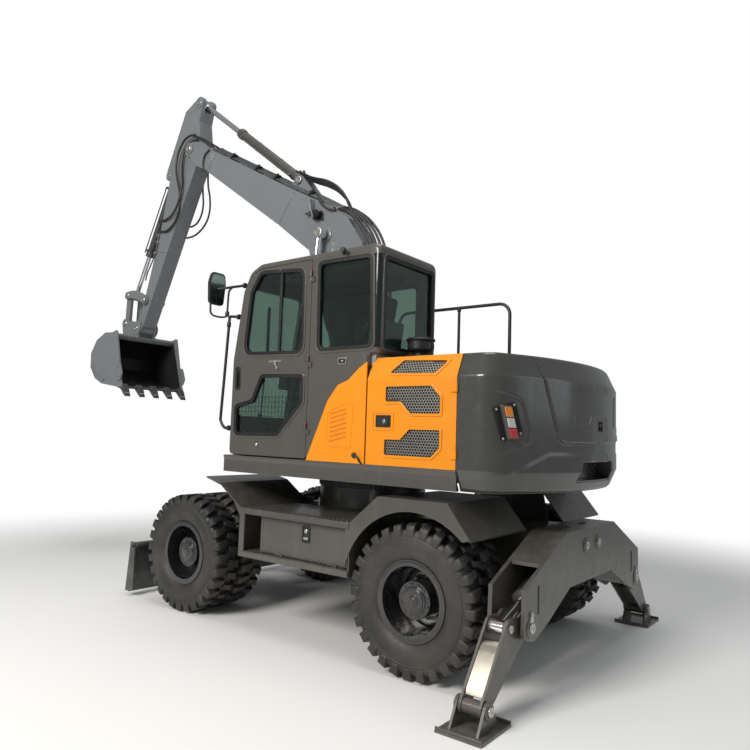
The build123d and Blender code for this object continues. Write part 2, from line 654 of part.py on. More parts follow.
def outrigger_leg():
    blade_face = bar_outline(LEG_PIVOT, FOOT_PIN, 85, 52) + bar_outline(LEG_EYE, FOOT_PIN, 58, 52)
    blade_face += bar_outline(LEG_PIVOT, LEG_EYE, 62, 58)
    body = end_prism(blade_face, LEG_X0, LEG_X0 + LEG_PLATE_T)
    body += end_prism(blade_face, LEG_X1 - LEG_PLATE_T, LEG_X1)
    run = Vector(FOOT_PIN[0] - LEG_EYE[0], FOOT_PIN[1] - LEG_EYE[1]).normalized()
    out = Vector(-run.Y, run.X)

    def on_leg(along, across):
        point = Vector(*LEG_EYE) + run * along + out * across
        return (point.X, point.Y)

    web = [on_leg(150, 34), on_leg(390, 34), on_leg(390, 20), on_leg(150, 20)]
    back = [on_leg(150, -60), on_leg(390, -30), on_leg(390, -44), on_leg(150, -74)]
    body += end_prism(web, LEG_X0 + 5, LEG_X1 - 5)
    body += end_prism(back, LEG_X0 + 5, LEG_X1 - 5)
    for x0, x1 in ((LEG_X0, LEG_X0 + 28), (LEG_X1 - 28, LEG_X1)):
        body += pin_x(LEG_PIVOT[0], LEG_PIVOT[1], 56, x0, x1)
    body -= pin_x(LEG_PIVOT[0], LEG_PIVOT[1], LEG_PIVOT_R + PIN_FIT, LEG_X0 - 10, LEG_X1 + 10)
    body += pin_x(FOOT_PIN[0], FOOT_PIN[1], 44, LEG_X0, LEG_X1)
    body -= pin_x(FOOT_PIN[0], FOOT_PIN[1], FOOT_PIN_R + PIN_FIT, LEG_X0 - 10, LEG_X1 + 10)
    return body


def outrigger_pad():
    y = FOOT_PIN[0]
    body = block(LEG_MID_X - PAD_W / 2, LEG_MID_X + PAD_W / 2, y - PAD_L / 2, y + PAD_L / 2, 0, PAD_T)
    foot = PAD_T - 2
    cheek = [(y - 120, foot), (y + 120, foot), (y + 45, FOOT_PIN[1] + 20), (y - 45, FOOT_PIN[1] + 20)]
    cheek_face = as_face(cheek) + Pos(y, FOOT_PIN[1]) * Circle(50)
    for x0, x1 in ((LEG_X0 - 24, LEG_X0 - 8), (LEG_X1 + 8, LEG_X1 + 24)):
        body += end_prism(cheek_face, x0, x1)
    body += pin_x(y, FOOT_PIN[1], FOOT_PIN_R, LEG_X0 - 34, LEG_X1 + 34)
    return body


leg_base = (LEG_MID_X, LEG_HEAD[0], LEG_HEAD[1])
leg_eye = (LEG_MID_X, LEG_EYE[0], LEG_EYE[1])
outrigger_barrel = cylinder_barrel("outrigger", leg_base, leg_eye, (1, 0, 0))
outrigger_rod = cylinder_rod("outrigger", leg_base, leg_eye, (1, 0, 0))
put("outrigger_beam", outrigger_beam())
for name, part in (("leg", outrigger_leg()), ("pad", outrigger_pad()),
                   ("barrel", outrigger_barrel), ("rod", outrigger_rod)):
    put(f"outrigger_{name}_left", part)
    put(f"outrigger_{name}_right", mirrored(part))


# ================================================================ blade
def blade():
    x = BLADE_BACK_X
    curve = [
        (x + 60, BLADE_LOW_Z),
        (x + 90, BLADE_LOW_Z),
        (x + 40, BLADE_LOW_Z + 190),
        (x + 40, BLADE_LOW_Z + 300),
        (x + 70, BLADE_TOP_Z),
        (x + 45, BLADE_TOP_Z),
        (x + 20, BLADE_LOW_Z + 300),
        (x + 20, BLADE_LOW_Z + 180),
    ]
    body = side_prism(curve, -BLADE_HALF_W, BLADE_HALF_W)
    end_top = BLADE_TOP_Z + 8
    end_plate = [(x, BLADE_LOW_Z + 20), (x + 130, BLADE_LOW_Z), (x + 80, end_top), (x + 10, end_top)]
    pivot_x, pivot_z = BLADE_PIVOT
    boss = 55
    for side in (1, -1):
        y0 = side * (BLADE_HALF_W - BLADE_T)
        body += side_prism(end_plate, min(y0, side * BLADE_HALF_W), max(y0, side * BLADE_HALF_W))
        a0 = side * (BLADE_ARM_Y - BLADE_ARM_T / 2)
        a1 = side * (BLADE_ARM_Y + BLADE_ARM_T / 2)
        arm = as_face([(pivot_x, pivot_z - boss), (x + 40, 170), (x + 40, 440), (pivot_x, pivot_z + boss)])
        arm += Pos(*BLADE_PIVOT) * Circle(boss)
        body += side_prism(arm, min(a0, a1), max(a0, a1))
        body -= pin_y(pivot_x, pivot_z, BLADE_PIVOT_R + PIN_FIT, side * 190, side * 250)
        hole_x, hole_z = BLADE_HOLE
        body -= pin_y(hole_x, hole_z, BLADE_HOLE_R, side * (BLADE_HALF_W - 30), side * (BLADE_HALF_W + 10))
        # ears beside the rod eye
        for gap in (-1, 1):
            e0 = side * (BLADE_CYL_Y + gap * 36)
            e1 = side * (BLADE_CYL_Y + gap * 50)
            ear = as_face([(x - 30, 560), (x + 50, 470), (x + 50, 400), (x - 60, 560)])
            ear += Pos(*BLADE_EYE) * Circle(46)
            ear += as_face([(x - 75, 600), (x + 14, 600), (x + 50, 400), (x + 20, 380)])
            body += side_prism(ear, min(e0, e1), max(e0, e1))
    return body


blade_cylinders = cylinder_set("blade", BLADE_BASE, BLADE_EYE, (-BLADE_CYL_Y, BLADE_CYL_Y))
put("blade", blade())
put("blade_barrels", blade_cylinders[0])
put("blade_rods", blade_cylinders[1])


# ================================================================ upper structure
def platform():
    """Deck tray with its skirt, boom brackets and the moving half of the slewing ring."""
    rear = TAIL_X + SEAT_GAP
    wide = UPPER_HALF_W
    plan = [(DECK_FRONT_X, -wide), (DECK_FRONT_X, wide), (rear, wide), (rear, -wide)]
    outer = plan_prism(plan, SKIRT_LOW_Z, DECK_Z)
    outer = fillet(outer.edges().filter_by(Axis.Z).group_by(Axis.X)[-1], 60)
    inner = block(TAIL_X - 20, DECK_FRONT_X - 20, -wide + 20, wide - 20, SKIRT_LOW_Z - 5, DECK_Z - DECK_T)
    body = outer - inner
    body += pin_z(0, 0, UPPER_RING_R + 60, RING_TOP_Z + 0.5, SKIRT_LOW_Z + 20)
    body += block(TAIL_X + 5, DECK_FRONT_X - 15, -420, 420, SKIRT_LOW_Z, DECK_Z - 5)
    x, z = BOOM_CYL_BASE
    slot = BOOM_CYL_SLOT_HALF
    body -= both_sides(BOOM_CYL_Y - slot, BOOM_CYL_Y + slot,
                       lambda y0, y1: block(x - 75, x + 80, y0, y1, SKIRT_LOW_Z - 10, DECK_Z + 80))
    bracket = as_face([(-420, DECK_Z - 5), (520, DECK_Z - 5), (210, 1900), (20, 1900), (-180, 1700)])
    bracket += Pos(*BOOM_FOOT) * Circle(100)
    body += both_sides(BOOM_HALF_W + 6, BOOM_HALF_W + 40, lambda y0, y1: side_prism(bracket, y0, y1))
    # ears of the boom cylinders at the front edge
    ear = as_face([(x - 62, SKIRT_LOW_Z), (x - 62, z), (x + 62, z), (x + 20, SKIRT_LOW_Z)])
    ear += Pos(x, z) * Circle(62)
    for y0, y1 in ((BOOM_CYL_Y - slot - 20, BOOM_CYL_Y - 42), (BOOM_CYL_Y + 42, BOOM_CYL_Y + slot + 20)):
        body += both_sides(y0, y1, lambda low, high: side_prism(ear, low, high))
    body += both_sides(BOOM_CYL_Y - slot, BOOM_CYL_Y + slot,
                       lambda y0, y1: pin_y(x, z, CYLINDERS["boom"][6], y0, y1))
    body += pin_y(BOOM_FOOT[0], BOOM_FOOT[1], BOOM_FOOT_R, -BOOM_HALF_W - 40, BOOM_HALF_W + 40)
    return body


def door_hinge_pin(x, y, z, toward, reach):
    """Upright hinge pin with a leaf at its foot, on the post at that side of the seam."""
    body = pin_z(x, y, HINGE_PIN_R, z - HINGE_L / 2, z + HINGE_L / 2)
    body += pin_z(x, y, HINGE_OUT - 1, z - HINGE_L / 2, z - HINGE_L / 6)
    leaf = (x, x + toward * reach)
    foot = z - HINGE_L / 2
    return body + block(min(leaf), max(leaf), y - HINGE_OUT - 1, y + 2, foot, z - HINGE_L / 6)


def door_hinge_eye(x, y, z, toward, reach):
    """Hinge eye round the upper part of that pin, on the door."""
    foot = z - HINGE_L / 6 + SEAT_GAP
    top = z + HINGE_L / 2
    leaf = (x, x + toward * reach)
    body = pin_z(x, y, HINGE_OUT - 1, foot, top)
    body += block(min(leaf), max(leaf), y - HINGE_OUT - 1, y + 2, foot, top)
    return body - pin_z(x, y, HINGE_PIN_R + PIN_FIT, foot - 5, top + 5)


def cab_outline(inset):
    front = CAB_FRONT_X - inset
    low = CAB_REAR_LOW_X + inset
    rear = CAB_REAR_X + inset
    floor = DECK_Z + SEAT_GAP + inset
    roof = CAB_TOP_Z - inset
    return [
        (low, floor),
        (front, floor),
        (front, 2310),
        (front - 100, 2930),
        (front - 190, 3100 - inset * 0.7),
        (470, roof),
        (rear + 60, roof),
        (rear, roof - 60),
        (rear, CAB_STEP_Z + inset),
        (low, CAB_STEP_Z + inset),
    ]


# windows of the cab: outlines in (x, z) on the left, (y, z) at the rear
QUARTER_WINDOW = [(-830, 2345), (-270, 2345), (-250, 3070), (-800, 3060)]
DOOR_UPPER_WINDOW = [(-95, 2335), (625, 2355), (565, 2900), (450, 3075), (-80, 3035)]
DOOR_LOWER_WINDOW = [
    (-111, 2139), (386, 2153), (493, 1935), (707, 1891), (698, 1638), (161, 1644), (-113, 1919),
]
WINDOW_Z = (2345.0, 3050.0)
RIGHT_WINDOW_X = (-700.0, 600.0)
FRONT_WINDOW_Z = (1800.0, 2960.0)
WINDOW_EDGE = 70.0       # pillar beside a front or rear window


def door_outline(grow):
    return [
        (DOOR_REAR_X - grow, DECK_Z + 12 - grow),
        (DOOR_FRONT_X + grow, DECK_Z + 12 - grow),
        (DOOR_FRONT_X + grow, 2310),
        (660 + grow, 2930),
        (570 + grow, 3060 + grow),
        (450, DOOR_TOP_Z + grow),
        (DOOR_REAR_X - grow, DOOR_TOP_Z + grow),
    ]


def cab_shell():
    body = side_prism(cab_outline(0), CAB_RIGHT_Y, CAB_LEFT_Y)
    body -= side_prism(cab_outline(CAB_WALL), CAB_RIGHT_Y + CAB_WALL, CAB_LEFT_Y - CAB_WALL)
    left = (CAB_LEFT_Y - CAB_WALL - 5, CAB_LEFT_Y + 10)
    body -= side_prism(door_outline(SEAM), *left)
    body -= side_prism(QUARTER_WINDOW, *left)
    y0 = CAB_RIGHT_Y + WINDOW_EDGE
    y1 = CAB_LEFT_Y - WINDOW_EDGE
    body -= block(CAB_REAR_X - 10, CAB_REAR_X + CAB_WALL + 5, y0, y1, *WINDOW_Z)
    body -= block(*RIGHT_WINDOW_X, CAB_RIGHT_Y - 10, CAB_RIGHT_Y + CAB_WALL + 5, 2050, 2980)
    body -= block(560, CAB_FRONT_X + 30, y0, y1, *FRONT_WINDOW_Z)
    # hinge pins of the door on the pillar
    for z in DOOR_HINGE_Z:
        body += door_hinge_pin(DOOR_REAR_X - SEAM / 2, CAB_LEFT_Y + HINGE_OUT, z, -1, 30)
    return body


def pane(outline, y):
    return side_prism(offset(as_face(outline), -SEAT_GAP, kind=Kind.INTERSECTION), y, y + GLASS_T)


def cab_glass():
    body = pane(QUARTER_WINDOW, CAB_LEFT_Y - 26)
    y0 = CAB_RIGHT_Y + WINDOW_EDGE + SEAT_GAP
    y1 = CAB_LEFT_Y - WINDOW_EDGE - SEAT_GAP
    z0 = WINDOW_Z[0] + SEAT_GAP
    z1 = WINDOW_Z[1] - SEAT_GAP
    body += block(CAB_REAR_X + 18, CAB_REAR_X + 18 + GLASS_T, y0, y1, z0, z1)
    x0, x1 = RIGHT_WINDOW_X
    body += pane([(x0, 2050), (x1, 2050), (x1, 2980), (x0, 2980)], CAB_RIGHT_Y + 15)
    z0 = FRONT_WINDOW_Z[0] + SEAT_GAP
    z1 = FRONT_WINDOW_Z[1] - SEAT_GAP
    x = CAB_FRONT_X - 20
    top = x - 100 * (z1 - 2310) / 620
    front = [(x, z0), (x, 2310), (top, z1), (top - GLASS_T, z1), (x - GLASS_T, 2310), (x - GLASS_T, z0)]
    body += side_prism(front, y0, y1)
    return body


def cab_door():
    body = side_prism(door_outline(0), CAB_LEFT_Y - CAB_WALL, CAB_LEFT_Y)
    for opening in (DOOR_UPPER_WINDOW, DOOR_LOWER_WINDOW):
        body -= side_prism(opening, CAB_LEFT_Y - CAB_WALL - 5, CAB_LEFT_Y + 5)
    for z in DOOR_HINGE_Z:
        body += door_hinge_eye(DOOR_REAR_X - SEAM / 2, CAB_LEFT_Y + HINGE_OUT, z, 1, 40)
    return body


def cab_door_glass():
    return pane(DOOR_UPPER_WINDOW, CAB_LEFT_Y - 26) + pane(DOOR_LOWER_WINDOW, CAB_LEFT_Y - 26)


def cab_interior():
    """Seat on its pedestal with both armrest consoles, carried by the cab floor."""
    floor = DECK_Z + SEAT_GAP + CAB_WALL + SEAT_GAP
    mid = (CAB_RIGHT_Y + CAB_LEFT_Y) / 2
    reach = (CAB_LEFT_Y - CAB_RIGHT_Y) / 2 - CAB_WALL - CONSOLE_GAP
    seat = reach - CONSOLE_W
    body = block(-520, -60, mid - seat + 35, mid + seat - 35, floor, floor + 330)
    body += block(-560, -20, mid - seat - 5, mid + seat + 5, floor + 325, floor + 450)
    back = [(-560, floor + 430), (-430, floor + 430), (-520, floor + 1150), (-640, floor + 1150)]
    body += side_prism(back, mid - seat + 5, mid + seat - 5)
    for side in (1, -1):
        y0 = mid + side * seat
        y1 = mid + side * reach
        body += block(-500, -40, min(y0, y1), max(y0, y1), floor + 380, floor + 620)
        stick_y = mid + side * (reach - CONSOLE_W / 2)
        body += rod((-80, stick_y, floor + 610), (-60, stick_y, floor + 800), 14)
        body += Pos(-60, stick_y, floor + 810) * Sphere(30)
    return body


def side_shell(side):
    """Upper bodywork outline (y, z) of one side from the deck to the hood's edge."""
    outer = UPPER_HALF_W
    inner = outer - SHELL_T
    return [
        (side * outer, DECK_Z + SEAT_GAP),
        (side * outer, BELT_Z),
        (side * (outer - BELT_IN), HOOD_TOP_Z),
        (side * (inner - BELT_IN), HOOD_TOP_Z),
        (side * inner, BELT_Z - 10),
        (side * inner, DECK_Z + SEAT_GAP),
    ]


def hood():
    """Sheet cover over the engine: top, with a wall behind the cab and one at the tail."""
    x0 = TAIL_X + SEAT_GAP
    x1 = CAB_REAR_LOW_X - 12
    y = UPPER_HALF_W - BELT_IN - SHELL_T - 6
    foot = DECK_Z + SEAT_GAP
    body = block(x0, x1, -y, y, HOOD_TOP_Z - 14, HOOD_TOP_Z)
    body += block(x1 - 20, x1, -y, y, foot, HOOD_TOP_Z - 5)
    body += block(x0, x0 + 14, -y, y, foot, HOOD_TOP_Z - 5)
    # posts that the engine doors' hinges stand on
    for side in (1, -1):
        wide = (side * (y - 10), side * UPPER_HALF_W)
        post = block(x0, TAIL_X + 2 * SEAM - 12, min(wide), max(wide), foot, BELT_Z - 12)
        body += post
    return body


def side_panel(side, x0, x1):
    return end_prism(side_shell(side), x0, x1)


def front_panel_left():
    """Orange panel with a curved leading edge, against the cab's lower rear corner."""
    edge = [
        (PANEL_X, DECK_Z + SEAT_GAP),
        (PANEL_X, 2225),
        (-721, 2182),
        (-613, 2091),
        (-508, 2053),
        (-406, 1931),
        (-193, DECK_Z + SEAT_GAP),
    ]
    y0 = CAB_LEFT_Y + SEAT_GAP
    return side_prism(edge, y0, y0 + PANEL_T)


def right_bodywork():
    """Right-hand tank and cover from the deck's front to the engine door."""
    foot = DECK_Z + SEAT_GAP
    outline = [(PANEL_X, foot), (700, foot), (700, 1900), (560, 2060), (PANEL_X, 2060)]
    body = side_prism(outline, -UPPER_HALF_W, -BOOM_HALF_W - 120)
    body -= block(420, 900, -UPPER_HALF_W - 10, -800, 1700, 2200)
    return body


# grilles of the engine doors, as outlines of (distance ahead of the tail joint, z)
ENGINE_GRILLES = [
    [(617, 2035), (215, 2035), (134, 1952), (134, 1830), (392, 1830), (479, 1916), (617, 1916)],
    [(618, 1645), (478, 1645), (397, 1722), (134, 1722), (134, 1592), (207, 1524), (618, 1524)],
]
# grille on the leaning band, as (distance ahead of the tail joint, distance up the band)
BAND_GRILLE = [(605, 35), (499, 150), (99, 132), (189, 22)]
GRILLE_DEPTH = 10.0


def band_plane(side):
    """Plane of the leaning band above the belt, facing outwards."""
    normal = (0, side * (HOOD_TOP_Z - BELT_Z), BELT_IN)
    return Plane(origin=(TAIL_X, side * UPPER_HALF_W, BELT_Z), x_dir=(1, 0, 0), z_dir=normal)


def engine_door(side):
    x0 = TAIL_X + SEAM
    body = side_panel(side, x0, PANEL_X - PANEL_GAP)
    outside = (side * (UPPER_HALF_W - GRILLE_DEPTH), side * (UPPER_HALF_W + 10))
    for grille in ENGINE_GRILLES:
        outline = [(TAIL_X + ahead, z) for ahead, z in grille]
        body -= side_prism(outline, min(outside), max(outside))
    band = as_face([(ahead, -side * up) for ahead, up in BAND_GRILLE])
    body -= extrude(band_plane(side) * band, amount=GRILLE_DEPTH, both=True)
    for z in ENGINE_HINGE_Z:
        eye = door_hinge_eye(TAIL_X + SEAM / 2, UPPER_HALF_W + HINGE_OUT, z, 1, 44)
        body += eye if side > 0 else mirrored(eye)
    return body


def tail_plan(inset):
    """Plan of the tail: straight flanks, rounded corners and an arc about the slewing axis."""
    half = UPPER_HALF_W - inset
    radius = TAIL_R - inset
    corner = TAIL_CORNER_R - inset
    # the corner arc touches the flank and the tail arc
    centre_y = half - corner
    centre_x = -math.sqrt((radius - corner) ** 2 - centre_y ** 2)
    turn = math.atan2(centre_y, -centre_x)
    join = (-radius * math.cos(turn), radius * math.sin(turn))
    mid_turn = (turn + math.pi / 2) / 2
    mid = (centre_x - corner * math.cos(mid_turn), centre_y + corner * math.sin(mid_turn))
    edges = [
        Line((TAIL_X, half), (centre_x, half)),
        ThreePointArc((centre_x, half), mid, join),
        ThreePointArc(join, (-radius, 0), (join[0], -join[1])),
        ThreePointArc((join[0], -join[1]), (mid[0], -mid[1]), (centre_x, -half)),
        Line((centre_x, -half), (TAIL_X, -half)),
        Line((TAIL_X, -half), (TAIL_X, half)),
    ]
    return make_face(Wire(edges))


def loft_between(low, z0, high, z1):
    return loft([Pos(0, 0, z0) * low, Pos(0, 0, z1) * high])


def tail_body(inset):
    """Tail from its tucked-in skirt to the leaning band below the hood's level."""
    body = extrude(Pos(0, 0, DECK_Z) * tail_plan(inset), amount=BELT_Z - DECK_Z)
    body += loft_between(tail_plan(60 + inset), SKIRT_LOW_Z, tail_plan(inset), DECK_Z)
    body += loft_between(tail_plan(inset), BELT_Z, tail_plan(BELT_IN + inset), HOOD_TOP_Z)
    return body


def hatch_volume(grow):
    """Rear hatch seen from behind: narrower and rounded below, with its corners at the belt."""
    low = HATCH_LOW_Z - grow
    half = [(608 + grow, low), (740 + grow, BELT_Z), (805 + grow, HOOD_TOP_Z + 40)]
    outline = half + [(-y, z) for y, z in reversed(half)]
    body = end_prism(outline, -TAIL_R - 60, HATCH_X + grow)
    corners = body.edges().filter_by(Axis.X).sort_by(Axis.Z)[:2]
    return fillet(corners, HATCH_CORNER_R + grow)


def counterweight():
    """Cast tail: solid below, and a shell round the cooler bay above."""
    x = HATCH_X + HATCH_HINGE_IN
    body = tail_body(0)
    bay_z = (HATCH_LOW_Z, HOOD_TOP_Z - 30)
    bay = tail_body(TAIL_WALL) & block(-TAIL_R, TAIL_X + 50, -UPPER_HALF_W, UPPER_HALF_W, *bay_z)
    body -= bay + block(TAIL_X - 60, TAIL_X + 50, -960, 960, *bay_z)
    body -= hatch_volume(SEAM)
    recess = tail_corner_box(TAIL_LAMP_DEPTH, -30, 150, 320)
    body -= recess + mirrored(recess)
    upper, lower = TOW_HALF_Y
    tow = [(-lower, TOW_Z[0]), (lower, TOW_Z[0]), (upper, TOW_Z[1]), (-upper, TOW_Z[1])]
    body -= end_prism(tow, -TAIL_R - 60, TOW_DEPTH - TAIL_R)
    for y in HATCH_HINGE_Y:
        body += pin_y(x, HOOD_TOP_Z + HINGE_OUT, HINGE_PIN_R, y - 45, y + 45)
        body += pin_y(x, HOOD_TOP_Z + HINGE_OUT, HINGE_OUT - 1, y - 45, y - 15)
        body += block(x, x + 50, y - 45, y - 15, HOOD_TOP_Z - 1, HOOD_TOP_Z + HINGE_OUT + 2)
    return body


def rear_hatch():
    x = HATCH_X + HATCH_HINGE_IN
    top_z = (HOOD_TOP_Z - HATCH_T, HOOD_TOP_Z + 5)
    inner = tail_body(HATCH_T) - block(-TAIL_R, TAIL_X, -UPPER_HALF_W, UPPER_HALF_W, *top_z)
    body = (tail_body(0) & hatch_volume(0)) - inner
    for y in HATCH_HINGE_Y:
        y0 = y - 15 + SEAT_GAP
        body += pin_y(x, HOOD_TOP_Z + HINGE_OUT, HINGE_OUT - 1, y0, y + 45)
        body += block(x - 50, x, y0, y + 45, HOOD_TOP_Z - 1, HOOD_TOP_Z + HINGE_OUT + 2)
        body -= pin_y(x, HOOD_TOP_Z + HINGE_OUT, HINGE_PIN_R + PIN_FIT, y0 - 5, y + 50)
    return body


def tail_corner_box(inner, outer, width, height):
    """Box let into the left corner of the tail, square to its curve, between two depths."""
    centre = TAIL_R - (inner + outer) / 2
    return Rot(0, 0, 180 - TAIL_LAMP_TURN) * Pos(centre, 0, TAIL_LAMP_Z) * Box(inner - outer, width, height)


def lamps():
    """Rear lamp units in both corners of the tail."""
    unit = tail_corner_box(TAIL_LAMP_DEPTH - SEAT_GAP, TAIL_LAMP_SUNK, 140, 310)
    return unit + mirrored(unit)


def pre_cleaner():
    x, y = PRE_CLEANER
    body = pin_z(x, y, 60, HOOD_TOP_Z + SEAT_GAP, HOOD_TOP_Z + 90)
    return body + pin_z(x, y, 105, HOOD_TOP_Z + 80, HOOD_TOP_Z + 175)


def rails():
    """Handrail on the right-hand side, on three feet."""
    foot = 2060 + SEAT_GAP
    rear = (-900, RAIL_Y)
    front = (480, RAIL_Y)
    path = [(*rear, HOOD_TOP_Z + SEAT_GAP), (*rear, RAIL_TOP_Z), (*front, RAIL_TOP_Z), (*front, foot)]
    body = tube_path(path, 17, 120)
    return body + rod((-304, RAIL_Y, foot), (-304, RAIL_Y, RAIL_TOP_Z), 15)


def mirror_and_rail():
    """Grab rail in front of the door, and the left-hand mirror on its bracket."""
    y = CAB_LEFT_Y - 14
    front = CAB_FRONT_X + SEAT_GAP
    path = [(732, y, 2700), (865, y, 2715), (925, y, 1765), (860, y, 1690), (front, y, 1690)]
    body = tube_path(path, 13, 25)
    head_x, head_y, head_z = MIRROR
    body += tube_path([(670.2, y, head_z), (head_x - 60, y, head_z), (head_x + 5, head_y, head_z)], 11, 25)
    return body + block(head_x, head_x + 45, head_y - 90, head_y + 90, head_z - 155, head_z + 155)


def engine_block():
    return block(TAIL_X + 30, -900, -560, 560, DECK_Z + SEAT_GAP, 2120)


put("platform", platform())
put("cab_shell", cab_shell())
put("cab_glass", cab_glass())
put("cab_door", cab_door())
put("cab_door_glass", cab_door_glass())
put("cab_interior", cab_interior())
put("hood", hood())
put("front_panel_left", front_panel_left())
put("right_bodywork", right_bodywork())
put("engine_door_left", engine_door(1))
put("engine_door_right", engine_door(-1))
put("counterweight", counterweight())
put("rear_hatch", rear_hatch())
put("lamps", lamps())
put("pre_cleaner", pre_cleaner())
put("rails", rails())
put("mirror", mirror_and_rail())
put("engine_block", engine_block())


# ================================================================ boom and arm
def boom():
    outline = [
        (BOOM_FOOT[0] - 95, BOOM_FOOT[1]),
        (BOOM_FOOT[0] + 95, BOOM_FOOT[1] - 20),
        (536, 2708),
        (830, 3578),
        (1307, 3933),
        (2616, 4830),
        (2835, 4936),
        (ARM_PIVOT[0], ARM_PIVOT[1] - 95),
        (ARM_PIVOT[0], ARM_PIVOT[1] + 95),
        (2760, 5230),
        (2514, 5044),
        (1094, 4263),
        (528, 3973),
        (317, 3829),
        (125, 3551),
        (12, 3011),
    ]
    face = as_face(outline) + Pos(*ARM_PIVOT) * Circle(95) + Pos(*BOOM_FOOT) * Circle(95)
    body = side_prism(face, -BOOM_HALF_W, BOOM_HALF_W)
    # clevis for the arm
    tip_slot = [(2500, 5400), (2514, 5024), (2616, 4830), (2700, 4700), (3200, 4700), (3200, 5400)]
    body -= side_prism(tip_slot, -ARM_HALF_W - 5, ARM_HALF_W + 5)
    body += pin_y(*ARM_PIVOT, ARM_PIVOT_R, -BOOM_HALF_W - 18, BOOM_HALF_W + 18)
    # ears for the arm cylinder
    ear = as_face([(700, 4010), (1300, 4330), (1150, 4425), (1090, 4476), (1040, 4440)])
    ear += Pos(*ARM_CYL_BASE) * Circle(66)
    body += both_sides(52, 72, lambda y0, y1: side_prism(ear, y0, y1))
    body += pin_y(*ARM_CYL_BASE, CYLINDERS["arm"][6], -90, 90)
    # bosses beside the boom cylinders' eyes
    body += pin_y(*BOOM_CYL_EYE, 62, -BOOM_CYL_Y + 45, BOOM_CYL_Y - 45)
    body -= pin_y(*BOOM_FOOT, BOOM_FOOT_R + PIN_FIT, -BOOM_HALF_W - 10, BOOM_HALF_W + 10)
    return body


def arm():
    outline = [
        (2850, 5320),
        (2899, 4970),
        (3260, 4230),
        (3687, 3330),
        (3850, 2990),
        (ARM_TIP[0], ARM_TIP[1] - 74),
        (ARM_TIP[0] + 70, ARM_TIP[1] + 20),
        (3862, 3300),
        (3580, 4220),
        (3440, 4890),
        (3518, 5010),
        (3179, 5750),
        (2960, 5850),
        (2840, 5750),
        (2889, 5556),
    ]
    face = as_face(outline)
    for centre, radius in ((ARM_PIVOT, 120), (ARM_TIP, 74), (ARM_CYL_EYE, 76), (BUCKET_CYL_BASE, 62),
                           (ROCKER_PIVOT, 50)):
        face += Pos(*centre) * Circle(radius)
    body = side_prism(face, -ARM_HALF_W, ARM_HALF_W)
    # slot for the arm cylinder's eye, open towards the boom
    slot_floor = [(2842, 5556), (2870, 5690), (2925, 5700), (2985, 5722), (3030, 5775), (3110, 5860)]
    slot = as_face([(2500, 5556), *slot_floor, (3110, 5950), (2500, 5950)])
    slot += Pos(*ARM_CYL_EYE) * Circle(68)
    body -= side_prism(slot, -51, 51)
    # slot for the bucket cylinder's base, open at the front
    x, z = BUCKET_CYL_BASE
    slot = as_face([(x - 62, z + 30), (x - 40, z - 105), (x + 300, z - 500), (x + 300, z + 200), (x, z + 62)])
    slot += Pos(x, z) * Circle(62)
    body -= side_prism(slot, -54, 54)
    body += pin_y(x, z, CYLINDERS["bucket"][6], -ARM_HALF_W, ARM_HALF_W)
    body += pin_y(*ROCKER_PIVOT, ROCKER_PIN_R, -ROCKER_Y - 16, ROCKER_Y + 16)
    body -= pin_y(*ARM_PIVOT, ARM_PIVOT_R + PIN_FIT, -ARM_HALF_W - 10, ARM_HALF_W + 10)
    body -= pin_y(*ARM_TIP, ARM_TIP_R + PIN_FIT, -ARM_HALF_W - 10, ARM_HALF_W + 10)
    return body


put("boom", boom())
put("arm", arm())
boom_cylinders = cylinder_set("boom", BOOM_CYL_BASE, BOOM_CYL_EYE, (-BOOM_CYL_Y, BOOM_CYL_Y))
put("boom_barrels", boom_cylinders[0])
put("boom_rods", boom_cylinders[1])
for kind, base, eye in (("arm", ARM_CYL_BASE, ARM_CYL_EYE), ("bucket", BUCKET_CYL_BASE, LINK_TOP)):
    cylinder = cylinder_set(kind, base, eye, (0,))
    put(f"{kind}_barrel", cylinder[0])
    put(f"{kind}_rod", cylinder[1])


def bowed_lever(p, q, rp, rq, bow):
    """Face of a curved lever round two circles, its middle raised by a bow."""
    run = Vector(q[0] - p[0], q[1] - p[1])
    out = Vector(-run.Y, run.X).normalized()

    def off(share, across):
        point = Vector(*p) + run * share + out * across
        return (point.X, point.Y)

    top = ThreePointArc(off(0, rp), off(0.5, bow + (rp + rq) / 2), off(1, rq))
    foot = ThreePointArc(off(1, -rq), off(0.5, bow - (rp + rq) / 2), off(0, -rp))
    face = make_face(Wire([top, Line(off(1, rq), off(1, -rq)), foot, Line(off(0, -rp), off(0, rp))]))
    return face + Pos(*p) * Circle(rp) + Pos(*q) * Circle(rq)


def rocker():
    """Pair of bowed levers beside the arm, each with a stub pin at its free end."""
    body = None
    for side in (1, -1):
        y0 = side * (ARM_HALF_W + 14)
        y1 = side * (ARM_HALF_W + 36)
        lever = side_prism(bowed_lever(ROCKER_PIVOT, LINK_TOP, 58, 50, ROCKER_BOW), min(y0, y1), max(y0, y1))
        lever += pin_y(LINK_TOP[0], LINK_TOP[1], LINK_PIN_R, side * 62, y1)
        lever -= pin_y(ROCKER_PIVOT[0], ROCKER_PIVOT[1], ROCKER_PIN_R + PIN_FIT, side * 60, side * 260)
        body = lever if body is None else body + lever
    return body


def link():
    """Two bars from the rocker's stubs down to one eye between the bucket's ears."""
    body = pin_y(LINK_FOOT[0], LINK_FOOT[1], 48, -LINK_HALF_W, LINK_HALF_W)
    for side in (1, -1):
        y0 = side * 62
        y1 = side * LINK_HALF_W
        body += side_prism(bar_outline(LINK_TOP, LINK_FOOT, 50, 48), min(y0, y1), max(y0, y1))
        body -= pin_y(LINK_TOP[0], LINK_TOP[1], LINK_PIN_R + PIN_FIT, side * 50, side * 120)
    return body


